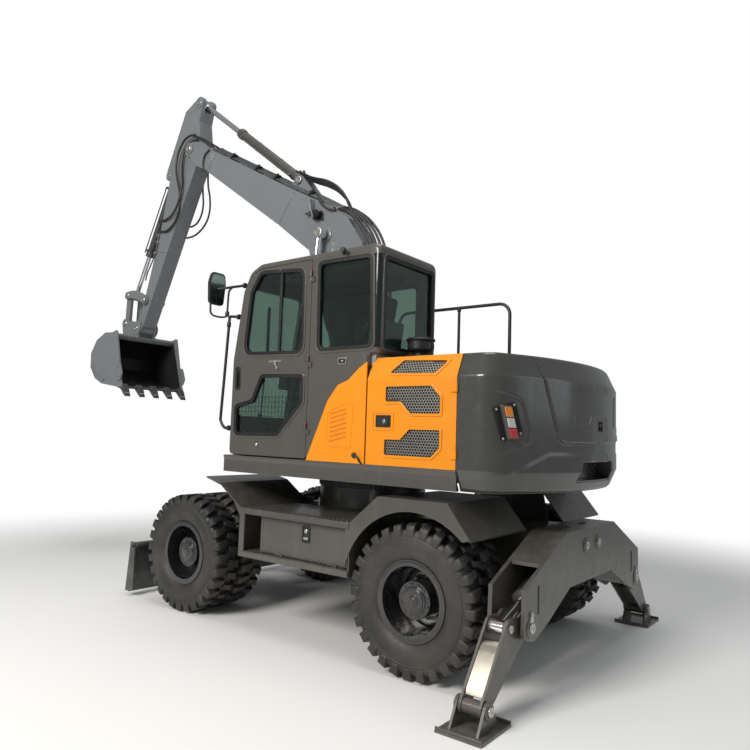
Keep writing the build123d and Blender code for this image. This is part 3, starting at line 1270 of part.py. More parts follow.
def bucket():
    """Bucket hanging from the arm's tip, with its mouth towards the machine."""
    lip = (3660, 2150)
    back = [
        (3900, 2846),
        (3960, 2872),
        (4130, 2880),
        (4330, 2790),
        (4450, 2620),
        (4440, 2440),
        (4320, 2290),
        (4150, 2215),
        lip,
    ]
    inner = [
        (3660, 2172),
        (4145, 2240),
        (4300, 2310),
        (4415, 2450),
        (4424, 2610),
        (4312, 2770),
        (4125, 2858),
        (3965, 2850),
        (3908, 2826),
    ]
    body = side_prism(back + inner, -BUCKET_HALF_W, BUCKET_HALF_W)
    cheek = back[1:] + [(3700, 2250), (3856, 2870), (3880, 2895)]
    body += both_sides(BUCKET_HALF_W - 20, BUCKET_HALF_W, lambda y0, y1: side_prism(cheek, y0, y1))
    # hinge ears, outside the arm's tip and the link
    ear_foot = [(3880, 2990), (3905, 2850), (3965, 2860), (4240, 2820)]
    ear_edge = ear_foot + [(4280, 3040), (4180, 3100), (3960, 3040)]
    ear = as_face(ear_edge) + Pos(*ARM_TIP) * Circle(72) + Pos(*LINK_FOOT) * Circle(64)
    ear_y = (ARM_HALF_W + 8, ARM_HALF_W + 34)
    body += both_sides(*ear_y, lambda y0, y1: side_prism(ear, y0, y1))
    body += pin_y(3965, 2832, 40, -BUCKET_HALF_W, BUCKET_HALF_W)
    body += pin_y(*ARM_TIP, ARM_TIP_R, -ARM_HALF_W - 34, ARM_HALF_W + 34)
    for k in range(BUCKET_TEETH):
        y = (k - (BUCKET_TEETH - 1) / 2) * (2 * BUCKET_HALF_W - 90) / (BUCKET_TEETH - 1)
        tooth = [(3700, 2190), (3600, 2080), (3640, 2070), (3740, 2160)]
        body += side_prism(tooth, y - 34, y + 34)
    return body


put("rocker", rocker())
put("link", link())
put("bucket", bucket())
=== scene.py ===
"""Wheeled excavator: finishes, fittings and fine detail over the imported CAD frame."""
import json
from math import atan2, copysign, cos, exp, hypot, pi, radians, sin, sqrt, tan

import bmesh
import bpy
from mathutils import Matrix, Vector


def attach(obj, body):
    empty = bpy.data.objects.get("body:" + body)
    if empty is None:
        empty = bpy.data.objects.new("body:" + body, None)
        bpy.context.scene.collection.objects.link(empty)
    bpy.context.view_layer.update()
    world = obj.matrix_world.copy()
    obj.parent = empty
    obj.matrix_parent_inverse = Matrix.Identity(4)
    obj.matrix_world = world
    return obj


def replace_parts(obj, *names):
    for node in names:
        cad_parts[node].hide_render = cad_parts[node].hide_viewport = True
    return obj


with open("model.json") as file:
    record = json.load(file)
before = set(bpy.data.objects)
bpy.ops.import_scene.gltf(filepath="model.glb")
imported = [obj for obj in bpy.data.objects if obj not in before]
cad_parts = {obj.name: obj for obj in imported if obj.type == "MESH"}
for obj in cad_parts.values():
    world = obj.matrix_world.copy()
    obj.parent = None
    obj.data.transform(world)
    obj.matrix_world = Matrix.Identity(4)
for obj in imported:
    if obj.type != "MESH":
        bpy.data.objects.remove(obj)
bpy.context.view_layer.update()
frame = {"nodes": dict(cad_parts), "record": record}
MM = 0.001
SIDES = ((1, "left"), (-1, "right"))
UP = (0, 0, 1)
LEFT = (0, 1, 0)

# ---------------------------------------------------------------- sizes shared with the solids, in millimetres
TYRE_R, AXLE_Z, AXLE_X = 530, 530, 1275
TYRE_OUT_Y, TYRE_PITCH, DISC_Y = 1084, 298, 935
CAB_LEFT_Y, CAB_RIGHT_Y, UPPER_HALF_W = 1136, 330, 1150
DECK_Z, BELT_Z, HOOD_TOP_Z, BELT_IN = 1450, 2095, 2260, 75
TAIL_X, TAIL_R = -1600, 2180
LUGS = 28


# ================================================================ finishes
class Nodes:
    """Short way to build a node tree."""

    def __init__(self, tree):
        self.tree = tree

    def add(self, kind, inputs=(), **settings):
        node = self.tree.nodes.new("ShaderNode" + kind)
        for key, value in settings.items():
            setattr(node, key, value)
        for key, value in dict(inputs).items():
            self.give(node.inputs[key], value)
        return node

    def give(self, socket, value):
        """Links a socket to another one, or sets it to a number or colour."""
        if isinstance(value, bpy.types.NodeSocket):
            self.tree.links.new(value, socket)
        else:
            socket.default_value = value


class Finish(Nodes):
    """Procedural material; each call adds one layer of its look."""

    def __init__(self, name, colour, rough, metal=0.0, coat=0.0):
        self.mat = bpy.data.materials.new(name)
        self.mat.use_nodes = True
        super().__init__(self.mat.node_tree)
        self.colour = colour
        self.shader = self.tree.nodes["Principled BSDF"].inputs
        self.coord = self.add("TexCoord").outputs
        for key, value in (("Base Color", (*colour, 1)), ("Roughness", rough), ("Metallic", metal),
                           ("Coat Weight", coat), ("Coat Roughness", 0.12)):
            self.shader[key].default_value = value

    def shade(self, share, lift=0.0):
        return [c * share + lift for c in self.colour]

    def noise(self, scale, detail=4.0, rough=0.55, stretch=None):
        where = self.coord["Object"]
        if stretch:
            where = self.add("Mapping", {"Vector": where, "Scale": stretch}).outputs[0]
        return self.add("TexNoise", {"Vector": where, "Scale": scale, "Detail": detail, "Roughness": rough}).outputs[0]

    def wave(self, axis, scale, distortion):
        inputs = {"Vector": self.coord["Object"], "Scale": scale, "Distortion": distortion}
        return self.add("TexWave", inputs, bands_direction=axis).outputs["Fac"]

    def ramp(self, value, low, high, to_low=0.0, to_high=1.0):
        inputs = {"Value": value, "From Min": low, "From Max": high, "To Min": to_low, "To Max": to_high}
        return self.add("MapRange", inputs, interpolation_type="SMOOTHSTEP").outputs[0]

    def times(self, a, b, operation="MULTIPLY"):
        return self.add("Math", {0: a, 1: b}, operation=operation, use_clamp=True).outputs[0]

    def rise(self, vector, low, high):
        """0 where a vector's z is low, 1 where it is high."""
        return self.ramp(self.add("SeparateXYZ", {0: vector}).outputs["Z"], low, high)

    def edges(self, radius):
        """1 on edges, 0 on flats; paint() lightens them, partly as wear and partly as painted highlight."""
        soft, flat = self.add("Bevel", {"Radius": radius}, samples=4), self.add("NewGeometry")
        dot = self.add("VectorMath", {0: soft.outputs[0], 1: flat.outputs["Normal"]}, operation="DOT_PRODUCT")
        return self.ramp(dot.outputs["Value"], 0.995, 0.88)

    def tint(self, factor, colour):
        """Mixes a second colour over the base colour."""
        base = self.shader["Base Color"]
        under = base.links[0].from_socket if base.is_linked else base.default_value
        self.give(base, self.add("Mix", {0: factor, 6: under, 7: (*colour, 1)}, data_type="RGBA").outputs[2])

    def mottle(self, colour, amount, low, high, *noise):
        """Clouds of a second colour."""
        self.tint(self.ramp(self.noise(*noise), low, high, 0.0, amount), colour)

    def roughen(self, factor, low, high):
        self.give(self.shader["Roughness"], self.ramp(factor, 0.0, 1.0, low, high))

    def bump(self, height, strength, distance):
        inputs = {"Height": height, "Strength": strength, "Distance": distance}
        self.give(self.shader["Normal"], self.add("Bump", inputs).outputs[0])
        return self.mat


def paint(name, colour, rough, coat, worn, dusty, dust=(0.30, 0.27, 0.22)):
    """Sprayed paint: slight mottling, orange peel, dust where it settles, edges lightened partly as wear and partly as
    painted highlight.
    """
    finish = Finish(name, colour, rough, coat=coat)
    finish.mottle(finish.shade(0.78), 0.30, 0.35, 0.75, 1.7, 5.0)
    finish.mottle(dust, dusty * 0.5, 0.52, 0.80, 6.0, 6.0, 0.6, (1.0, 1.0, 0.12))
    # on faces that look up, and near the ground
    for where, low, high, *noise in (
        (finish.rise(finish.coord["Normal"], 0.35, 0.95), 0.40, 0.72, 9.0, 8.0, 0.65),
        (finish.rise(finish.coord["Object"], 1.25, 0.25), 0.38, 0.70, 5.0, 8.0, 0.7),
    ):
        grime = finish.times(where, finish.ramp(finish.noise(*noise), low, high))
        finish.tint(finish.times(grime, dusty), dust)
    if worn:
        # edges lightened in chips: partly wear, partly a painted highlight along the edges
        lit_worn_edges = finish.times(finish.edges(0.006), finish.ramp(finish.noise(34.0, 6.0, 0.7), 0.46, 0.60))
        finish.tint(finish.times(lit_worn_edges, worn), (0.33, 0.32, 0.30))
    finish.roughen(finish.noise(14.0, 6.0, 0.6), max(rough - 0.10, 0.05), rough + 0.14)
    return finish.bump(finish.noise(420.0, 2.0), 0.06, 0.0006)


def rubber(name, colour, rough, dusty):
    finish = Finish(name, colour, rough)
    finish.mottle((0.155, 0.135, 0.11), dusty, 0.38, 0.72, 3.0, 8.0, 0.65)
    finish.mottle((0.11, 0.10, 0.085), dusty * 0.6, 0.50, 0.75, 40.0, 6.0, 0.6)
    finish.roughen(finish.noise(22.0, 5.0), rough - 0.12, rough + 0.1)
    return finish.bump(finish.noise(160.0, 5.0, 0.6), 0.25, 0.0012)


def metal(name, colour, rough, grain=(1.0, 1.0, 1.0), scratched=0.05):
    finish = Finish(name, colour, rough, metal=1.0)
    finish.mottle(finish.shade(0.55), 0.35, 0.45, 0.8, 12.0, 6.0)
    finish.roughen(finish.noise(30.0, 5.0, 0.6, grain), rough, rough + 0.16)
    return finish.bump(finish.noise(300.0, 3.0, 0.5, grain), scratched, 0.0004)


def plastic(name, colour, rough, grain=0.12):
    finish = Finish(name, colour, rough)
    finish.mottle(finish.shade(0.6, 0.015), 0.35, 0.42, 0.78, 8.0, 6.0)
    finish.roughen(finish.noise(20.0, 5.0), rough - 0.1, rough + 0.12)
    return finish.bump(finish.noise(900.0, 2.0), grain, 0.0005)


def lens(name, colour, rough=0.08):
    """Moulded lamp lens with its fine ribs behind a glossy skin."""
    finish = Finish(name, colour, rough, coat=1.0)
    ribs = finish.wave("Z", 45.0, 0.0)
    finish.tint(finish.ramp(ribs, 0.2, 0.9, 0.0, 0.45), finish.shade(0.45))
    finish.roughen(finish.noise(25.0), rough, rough + 0.1)
    return finish.bump(ribs, 0.3, 0.002)


def glass(name, colour):
    finish = Finish(name, colour, 0.02)
    finish.shader["Transmission Weight"].default_value = 1.0
    finish.shader["IOR"].default_value = 1.45
    finish.mottle(finish.shade(0.72), 0.35, 0.45, 0.85, 2.5, 6.0, 0.7)
    finish.roughen(finish.ramp(finish.noise(7.0, 8.0, 0.7), 0.55, 0.8), 0.015, 0.11)
    return finish.mat


def cloth(name, colour):
    """Woven seat cover."""
    finish = Finish(name, colour, 0.9)
    finish.shader["Sheen Weight"].default_value = 0.25
    x, y, z = (finish.wave(axis, 140.0, 0.6) for axis in "XYZ")
    threads = finish.times(finish.times(x, y, "ADD"), z)
    finish.tint(finish.ramp(threads, 0.2, 0.8, 0.0, 0.5), finish.shade(0.5))
    finish.roughen(finish.noise(30.0), 0.8, 0.97)
    return finish.bump(threads, 0.35, 0.0015)


GREY = paint("grey_paint", (0.072, 0.069, 0.062), 0.34, 0.35, 0.30, 0.22)
CAB = paint("cab_paint", (0.082, 0.078, 0.069), 0.30, 0.45, 0.15, 0.10)
ORANGE = paint("orange_paint", (0.86, 0.285, 0.003), 0.30, 0.5, 0.0, 0.04, (0.62, 0.36, 0.12))
# painted shade: a darker copy of the grey paint for the counterweight, hatch and hood, whose rear lies in shadow
SHADED_TAIL = paint("tail_paint_painted_shade", (0.052, 0.052, 0.049), 0.24, 0.6, 0.12, 0.06)
# painted highlight: a lighter copy of the grey paint for the sunlit boom, arm and bucket sides
LIT_BOOM = paint("boom_paint_painted_highlight", (0.185, 0.196, 0.208), 0.26, 0.6, 0.25, 0.04)
RIM = paint("rim_paint", (0.012, 0.012, 0.014), 0.22, 0.7, 0.20, 0.08)
IRON = paint("wear_steel", (0.045, 0.048, 0.052), 0.42, 0.1, 0.7, 0.25)
STEEL = metal("bare_steel", (0.56, 0.55, 0.53), 0.26)
CHROME = metal("chrome", (0.90, 0.90, 0.91), 0.05, (1.0, 1.0, 6.0), 0.02)
TYRE = rubber("tyre_rubber", (0.022, 0.022, 0.022), 0.55, 0.22)
HOSE = rubber("hose_rubber", (0.012, 0.012, 0.013), 0.42, 0.10)
GASKET = rubber("gasket_rubber", (0.008, 0.008, 0.009), 0.45, 0.06)
PLASTIC = plastic("black_plastic", (0.018, 0.018, 0.019), 0.42)
TRIM = plastic("cab_trim", (0.24, 0.245, 0.24), 0.6)
# near-black: lamp plates and door seams, and painted shade behind the grilles
DARK = plastic("dark_cavity", (0.006, 0.006, 0.007), 0.8)
GLASS = glass("glass", (0.27, 0.36, 0.32))
MIRROR_FACE = metal("mirror_face", (0.16, 0.20, 0.18), 0.02, scratched=0.0)
AMBER = lens("amber_lens", (0.80, 0.26, 0.02))
CLEAR = lens("clear_lens", (0.62, 0.62, 0.60))
RED = lens("red_lens", (0.55, 0.02, 0.03))
SEAT = cloth("seat_cloth", (0.045, 0.046, 0.050))

# each slot of the solids with its finishes, the one the solids wear first
SLOTS = {
    "orange_paint": [ORANGE], "grey_paint": [GREY, SHADED_TAIL, LIT_BOOM], "cab_paint": [CAB], "rim_paint": [RIM],
    "chrome": [CHROME, STEEL, MIRROR_FACE], "glass": [GLASS], "lamp_lens": [PLASTIC], "cast_iron": [IRON],
    "black_plastic": [PLASTIC, DARK, TRIM, GASKET, HOSE, SEAT], "tyre_rubber": [TYRE],
}
SLOT_OF = {finish: slot for slot, finishes in SLOTS.items() for finish in finishes}
# solids that wear another finish than the first of their slot
WEARS = {node: finish for finish, nodes in (
    (SHADED_TAIL, "counterweight rear_hatch hood"), (LIT_BOOM, "boom arm rocker link bucket"), (GREY, "arm_barrel boom_barrels"),
    (IRON, "blade bucket_barrel"), (PLASTIC, "rails mirror"), (TRIM, "cab_interior"),
) for node in nodes.split()}

for part in frame["record"]["subparts"]:
    node, slot = part["node"], part["material_slot"]
    solid = frame["nodes"][node]
    if not solid.material_slots:
        solid.data.materials.append(None)
    for holder in solid.material_slots:
        holder.material = WEARS.get(node, SLOTS[slot][0])
    if slot not in ("glass", "tyre_rubber"):
        eased = solid.modifiers.new("eased", "BEVEL")
        eased.width, eased.segments, eased.limit_method = 2.5 * MM, 2, "ANGLE"
        eased.angle_limit = radians(35)
        eased.harden_normals = True


# ================================================================ mesh helpers, in millimetres
def corners(outline):
    """Each corner of an outline between its two neighbours."""
    points = [Vector(p) for p in outline]
    return zip(points[-1:] + points[:-1], points, points[1:] + points[:1])


def rounded(outline, radius, steps=5):
    """Outline with its corners rounded to a radius."""
    out = []
    for a, b, c in corners(outline):
        to_a, to_c = (a - b), (c - b)
        reach = min(radius / tan(to_a.angle(to_c) / 2), to_a.length * 0.45, to_c.length * 0.45)
        start, end = b + to_a.normalized() * reach, b + to_c.normalized() * reach
        for t in (i / steps for i in range(steps + 1)):
            out.append(tuple(start * (1 - t) ** 2 + b * 2 * t * (1 - t) + end * t * t))
    return out


def rect(u0, u1, v0, v1, radius=0):
    """Rectangle, with rounded corners where a radius is given."""
    outline = [(u0, v0), (u1, v0), (u1, v1), (u0, v1)]
    return rounded(outline, radius) if radius else outline


def inset(outline, by):
    """Outline moved inwards by a distance, or outwards if it is negative."""
    turn = copysign(1, sum(a[0] * b[1] - b[0] * a[1] for a, b in zip(outline, outline[1:] + outline[:1])))
    out = []
    for a, b, c in corners(outline):
        n0, n1 = (Vector((-run.y, run.x)).normalized() * turn for run in (b - a, c - b))
        mid = (n0 + n1).normalized()
        out.append(tuple(b + mid * (by / max(mid.dot(n0), 0.3))))
    return out


def gap_to(point, outline):
    """Distance to an outline's edge, positive inside it."""
    px, py = point
    best = 1e9
    hit = False
    for (ax, ay), (bx, by) in zip(outline, outline[1:] + outline[:1]):
        ux, uy = bx - ax, by - ay
        t = min(max(((px - ax) * ux + (py - ay) * uy) / (ux * ux + uy * uy), 0.0), 1.0)
        best = min(best, hypot(px - ax - ux * t, py - ay - uy * t))
        if (ay > py) != (by > py) and px < ux * (py - ay) / uy + ax:
            hit = not hit
    return best if hit else -best


def angles(count, offset=0.0):
    """Equal steps of a full turn."""
    return [2 * pi * (k + offset) / count for k in range(count)]


AXES = {
    "x": lambda u, v, w: (w, u, v),     # outline in (y, z), depth along x
    "y": lambda u, v, w: (u, w, v),     # outline in (x, z), depth along y
    "z": lambda u, v, w: (u, v, w),     # outline in (x, y), depth along z
}


def placed(origin, normal, up=UP):
    """Frame at a point with its own z along the normal and y as near up as can be."""
    z = Vector(normal).normalized()
    x = Vector(up).cross(z)
    if x.length < 1e-6:
        x = Vector((1, 0, 0))
    x.normalize()
    return Matrix.Translation(origin) @ Matrix((x, z.cross(x), z)).transposed().to_4x4()


def spline(points, steps):
    """Catmull-Rom line through points."""
    pts = [Vector(p) for p in points]
    if len(pts) < 3:
        return pts
    ends = [pts[0] * 2 - pts[1], *pts, pts[-1] * 2 - pts[-2]]
    out = []
    for a, b, c, d in zip(ends, ends[1:], ends[2:], ends[3:]):
        for t in (i / steps for i in range(steps)):
            out.append(0.5 * (2 * b + (c - a) * t + (2 * a - 5 * b + 4 * c - d) * t * t
                              + (3 * b - a - 3 * c + d) * t ** 3))
    return out + [pts[-1]]


def linked(name, data):
    """New object in the scene."""
    obj = bpy.data.objects.new(name, data)
    bpy.context.scene.collection.objects.link(obj)
    return obj


class Piece:
    """One mesh piece gathered in millimetres, for one body and one finish."""

    def __init__(self, name, body, finish, slot=None, bevel=0.0, segments=2, angle=35, at=Matrix.Identity(4)):
        self.name, self.body, self.finish, self.slot = name, body, finish, slot or SLOT_OF.get(finish)
        self.bevel, self.segments, self.angle, self.at = bevel, segments, angle, at
        self.bm = bmesh.new()

    def vert(self, point):
        return self.bm.verts.new(self.at @ Vector(point))

    def face(self, verts):
        try:
            self.bm.faces.new(verts)
        except ValueError:
            pass

    def loft(self, rows, closed=True, caps=True, endless=False):
        """Skin over rows of points, each a loop or a strip; endless joins the last row to the first."""
        rings = [[self.vert(p) for p in row] for row in rows]
        count = len(rings[0])
        for low, high in zip(rings, rings[1:] + rings[:1] if endless else rings[1:]):
            for k in range(count if closed else count - 1):
                j = (k + 1) % count
                self.face((low[k], low[j], high[j], high[k]))
        if caps and not endless:
            self.face(rings[0][::-1])
            self.face(rings[-1])

    def prism(self, outline, axis, low, high, top=None):
        """Outline stretched along an axis; top may be another outline of as many points."""
        to = AXES[axis]
        if not top:
            low, high = sorted((low, high))
        self.loft([[to(u, v, low) for u, v in outline], [to(u, v, high) for u, v in top or outline]])

    def ring(self, outer, inner, axis, low, high):
        """Frame between two outlines of as many points, with a depth."""
        to = AXES[axis]
        low, high = sorted((low, high))
        rows = ((outer, low), (outer, high), (inner, high), (inner, low))
        self.loft([[to(u, v, w) for u, v in outline] for outline, w in rows], endless=True)

    def turned(self, profile, start, normal, count=32, caps=True):
        """(radius, depth) points turned about an axis."""
        keep = self.at
        self.at = keep @ placed(start, normal)
        self.loft([[(radius * cos(a), radius * sin(a), depth) for a in angles(count)] for radius, depth in profile],
                  caps=caps)
        self.at = keep

    def rod(self, start, end, radius, count=16):
        run = Vector(end) - Vector(start)
        length = run.length
        edge = min(radius * 0.12, length * 0.2)
        self.turned([(radius - edge, 0), (radius, edge), (radius, length - edge), (radius - edge, length)],
                    start, run, count)

    def bolt(self, point, normal, size=9, height=7):
        """Hexagon head on its washer."""
        self.turned([(size * 1.35, -1), (size * 1.35, 1.2), (size * 1.25, 1.8)], point, normal, 16)
        self.turned([(size, 1), (size, height - 1), (size * 0.88, height)], point, normal, 6)

    def box(self, x0, x1, y0, y1, z0, z1):
        self.prism(rect(x0, x1, *sorted((y0, y1))), "z", z0, z1)

    def tube(self, points, radius, count=10, smooth=6):
        """Round bar or pipe along a smooth line through points."""
        line = spline(points, smooth)
        side = None
        rows = []
        for k, point in enumerate(line):
            ahead = (line[min(k + 1, len(line) - 1)] - line[max(k - 1, 0)]).normalized()
            side = side or ahead.orthogonal().normalized()
            side = (side - ahead * side.dot(ahead)).normalized()
            other = ahead.cross(side)
            rows.append([point + (side * cos(a) + other * sin(a)) * radius for a in angles(count)])
        self.loft(rows)

    def carved(self, *cutters):
        """Cuts other pieces' closed meshes out of this one."""
        made = []
        for bm in (self.bm, *(c.bm for c in cutters)):
            bmesh.ops.remove_doubles(bm, verts=bm.verts[:], dist=0.2)
            bmesh.ops.dissolve_degenerate(bm, dist=0.05, edges=bm.edges[:])
            bmesh.ops.triangulate(bm, faces=bm.faces[:])
            bmesh.ops.recalc_face_normals(bm, faces=bm.faces[:])
            if bm.calc_volume(signed=True) < 0:
                bmesh.ops.reverse_faces(bm, faces=bm.faces[:])
            made.append(linked("carving", bpy.data.meshes.new("carving")))
            bm.to_mesh(made[-1].data)
        for tool in made[1:]:
            step = made[0].modifiers.new("cut", "BOOLEAN")
            step.operation, step.solver, step.object = "DIFFERENCE", "EXACT", tool
        done = bpy.data.meshes.new_from_object(made[0].evaluated_get(bpy.context.evaluated_depsgraph_get()))
        self.bm.clear()
        self.bm.from_mesh(done)
        for mesh in [used.data for used in made] + [done]:
            bpy.data.meshes.remove(mesh)

    def done(self):
        bmesh.ops.recalc_face_normals(self.bm, faces=self.bm.faces[:])
        bmesh.ops.scale(self.bm, vec=(MM, MM, MM), verts=self.bm.verts[:])
        mesh = bpy.data.meshes.new(self.name)
        self.bm.to_mesh(mesh)
        self.bm.free()
        obj = linked(self.name, mesh)
        mesh.materials.append(self.finish)
        if self.bevel:
            soft = obj.modifiers.new("edge", "BEVEL")
            soft.width, soft.segments, soft.limit_method = self.bevel * MM, self.segments, "ANGLE"
            soft.angle_limit = radians(30)
        mesh.polygons.foreach_set("use_smooth", [True] * len(mesh.polygons))
        mesh.set_sharp_from_angle(angle=radians(self.angle))
        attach(obj, self.body)
        return obj


# ================================================================ camera, floor and light
camera = linked("camera", bpy.data.cameras.new("camera"))
yaw, pitch, roll = (radians(a) for a in (-52.114, 4.989, 1.842))
ahead = Vector((cos(pitch) * cos(yaw), cos(pitch) * sin(yaw), sin(pitch)))
right = ahead.cross(Vector(UP)).normalized()
up = right.cross(ahead)
camera.matrix_world = Matrix.Translation((-3.959, 5.112, 1.683)) @ Matrix(
    (right * cos(roll) + up * sin(roll), up * cos(roll) - right * sin(roll), -ahead)).transposed().to_4x4()
camera.data.sensor_width = 36.0
camera.data.lens = 668.70 / 750 * 36.0
camera.data.clip_end = 500.0
bpy.context.scene.camera = camera

world = bpy.data.worlds.new("studio")
bpy.context.scene.world = world
world.use_nodes = True
sky = Nodes(world.node_tree)
ray = sky.add("LightPath").outputs
seen = sky.add("Math", {0: ray["Is Camera Ray"], 1: ray["Is Transmission Ray"]}, operation="MAXIMUM")
lit = sky.add("Background", {"Color": (0.96, 0.98, 1.0, 1), "Strength": 0.27})
shown = sky.add("Background", {"Color": (1.0, 1.0, 1.0, 1), "Strength": 1.0})
choose = sky.add("MixShader", {0: seen.outputs[0], 1: lit.outputs[0], 2: shown.outputs[0]})
sky.give(sky.tree.nodes["World Output"].inputs["Surface"], choose.outputs[0])

for name, place, target, size, power, colour in (
    ("key", (0.5, 10.0, 7.0), (0.0, 0.5, 1.8), 4.0, 980.0, (1.0, 0.97, 0.92)),
    ("fill", (-9.0, -3.0, 4.5), (-0.5, 0.0, 2.0), 5.0, 60.0, (0.90, 0.95, 1.0)),
    ("top", (-1.0, 1.0, 12.0), (0.0, 0.0, 2.0), 6.0, 360.0, (1.0, 1.0, 1.0)),
):
    lamp = linked(name, bpy.data.lights.new(name, "AREA"))
    lamp.data.size, lamp.data.energy, lamp.data.color = size, power, colour
    lamp.matrix_world = placed(place, Vector(place) - Vector(target))

floor = linked("floor", bpy.data.meshes.new("floor"))
floor.data.from_pydata([(x, y, 0) for x, y in rect(-80, 80, -80, 80)], [], [(0, 1, 2, 3)])
pale = Finish("pale_floor", (0.90, 0.90, 0.89), 0.9)
pale.mottle((0.86, 0.86, 0.85), 0.3, 0.4, 0.7, 0.6, 5.0)
reach = pale.add("VectorMath", {0: pale.coord["Object"]}, operation="LENGTH")
pale.give(pale.shader["Alpha"], pale.ramp(reach.outputs["Value"], 4.4, 9.0, 1.0, 0.0))
floor.data.materials.append(pale.mat)


# ================================================================ wheels
# sidewall and crown of the carcass, as (radius, distance from the tyre's middle)
CARCASS = [
    (255, 89), (268, 92), (284, 94), (290, 99), (302, 109), (322, 119), (345, 126), (370, 129.5), (398, 130),
    (420, 127.5), (424, 126.5), (426, 129.5), (431, 129.5), (433, 126), (446, 124), (462, 121), (478, 114),
    (488, 103), (492, 84), (494, 50), (495, 0),
]
# lug sections from the middle to the shoulder: distance, edges along the tread, top radius, root radius
LUG = [
    (7, 8, 50, 528, 488), (40, -4, 44, 530, 488), (84, -24, 36, 530, 484), (108, -34, 34, 527, 478),
    (122, -34, 34, 518, 468), (129, -31, 31, 498, 456), (130.5, -28, 28, 470, 446), (129.5, -26, 26, 449, 442),
]
LUG_FLARE = 6 / TYRE_R      # angle by which a lug's root is wider than its top


def around(r, angle, y):
    return (r * sin(angle), y, r * cos(angle))


def tyre(piece, y_mid):
    profile = [(r, -d) for r, d in CARCASS] + [(r, d) for r, d in reversed(CARCASS[:-1])]
    piece.loft([[around(r, a, y_mid + d) for a in angles(LUGS * 4)] for r, d in profile], caps=False)
    for half, offset in ((1, 0.0), (-1, 0.5)):
        for turn in angles(LUGS, offset):
            rows = []
            for d, u0, u1, top, root in LUG:
                y, root_y = y_mid + half * d, y_mid + half * min(d, 124)
                a0, a1 = turn + u0 / TYRE_R, turn + u1 / TYRE_R
                rows.append([around(root, a0 - LUG_FLARE, root_y), around(top, a0, y), around(top, a1, y),
                             around(root, a1 + LUG_FLARE, root_y)])
            piece.loft(rows, closed=False)


TYRE_IN_Y, LIP_Y, HUB_Y = TYRE_OUT_Y - TYRE_PITCH, TYRE_OUT_Y + 90, 1135
for end, axle_x in (("front", AXLE_X), ("rear", -AXLE_X)):
    for sign, side in SIDES:
        tag, body = f"{end}_{side}", f"wheel_{end}_{side}"
        # wheel's own frame: x forward, y outwards, z up, at the axle's height
        at = Matrix.Translation((axle_x, 0, AXLE_Z)) @ Matrix.Diagonal((1, sign, 1, 1))
        for row, y_mid in (("outer", TYRE_OUT_Y), ("inner", TYRE_IN_Y)):
            piece = Piece(f"tyre_{tag}_{row}", body, TYRE, bevel=2.5, angle=40, at=at)
            tyre(piece, y_mid)
            made = piece.done()
            if row == "outer":
                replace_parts(made, f"tyres_{tag}")

        # lock rings, hub cap and the disc's dish
        hub = Piece(f"hub_{tag}", body, RIM, bevel=1.2, at=at)
        for y, out in ((LIP_Y, 1), (TYRE_IN_Y - 90, -1)):
            hub.turned([(241, 0), (246, 9), (256, 14), (270, 15.5), (281, 11), (283, 3), (272, 1), (241, -2)],
                       (0, y, 0), (0, out, 0), 64, caps=False)
        hub.turned([(132, -60), (132, -4), (128, 0), (96, 0), (94, 6), (90, 8), (80, 8), (78, 14), (40, 16),
                    (38, 22), (22, 24), (20, 28), (0.5, 28)], (0, HUB_Y, 0), LEFT, 48)
        hub.turned([(238, -10), (232, -4), (205, 6), (172, 8), (150, 4), (140, 9), (128, 9)],
                   (0, DISC_Y + 9, 0), LEFT, 48, caps=False)
        hub.done()
        # small bolts on the cap, studs with their nuts, valve
        nuts = Piece(f"wheel_nuts_{tag}", body, RIM, at=at)
        for turn in angles(12, 0.5):
            nuts.bolt(around(113, turn, HUB_Y - 1), LEFT, 7.5, 7)
        for turn in angles(10):
            nuts.bolt(around(150, turn, DISC_Y + 16), LEFT, 14, 22)
            nuts.rod(around(150, turn, DISC_Y + 30), around(150, turn, DISC_Y + 50), 8, 10)
        nuts.tube([around(236, 0.5, DISC_Y + 20), around(226, 0.5, DISC_Y + 90), around(232, 0.5, LIP_Y - 10)], 4.5)
        nuts.done()

# ================================================================ tail surface
TAIL_CORNER = 190
FOOT_H, FOOT_IN = 144, 60       # height of the part under the deck, and how far its foot draws in
CORNER_Y = UPPER_HALF_W - TAIL_CORNER
CORNER_X = -sqrt((TAIL_R - TAIL_CORNER) ** 2 - CORNER_Y ** 2)
CORNER_TURN = atan2(CORNER_Y, -CORNER_X)
TAIL_ARC = TAIL_R * CORNER_TURN
CORNER_ARC = TAIL_CORNER * (pi / 2 - CORNER_TURN)
SKIN_END = TAIL_ARC + CORNER_ARC + TAIL_X - CORNER_X


def tail_at(s, z, out=0.0):
    """Point of the tail's skin: s runs round it from the middle line, out stands off it."""
    lean = max(z - BELT_Z, 0) / (HOOD_TOP_Z - BELT_Z) * BELT_IN + max(DECK_Z - z, 0) / FOOT_H * FOOT_IN
    run, off = abs(s), out - lean
    if run < TAIL_ARC:
        turn = run / TAIL_R
        x, y = -(TAIL_R + off) * cos(turn), (TAIL_R + off) * sin(turn)
    elif run < TAIL_ARC + CORNER_ARC:
        turn = CORNER_TURN + (run - TAIL_ARC) / TAIL_CORNER
        x, y = CORNER_X - (TAIL_CORNER + off) * cos(turn), CORNER_Y + (TAIL_CORNER + off) * sin(turn)
    else:
        x, y = CORNER_X + run - TAIL_ARC - CORNER_ARC, UPPER_HALF_W + off
    return Vector((x, copysign(y, s), z))


def smooth(t):
    t = min(max(t, 0.0), 1.0)
    return t * t * (3 - 2 * t)


def mirrored(half):
    return half + [(-s, z) for s, z in reversed(half)]


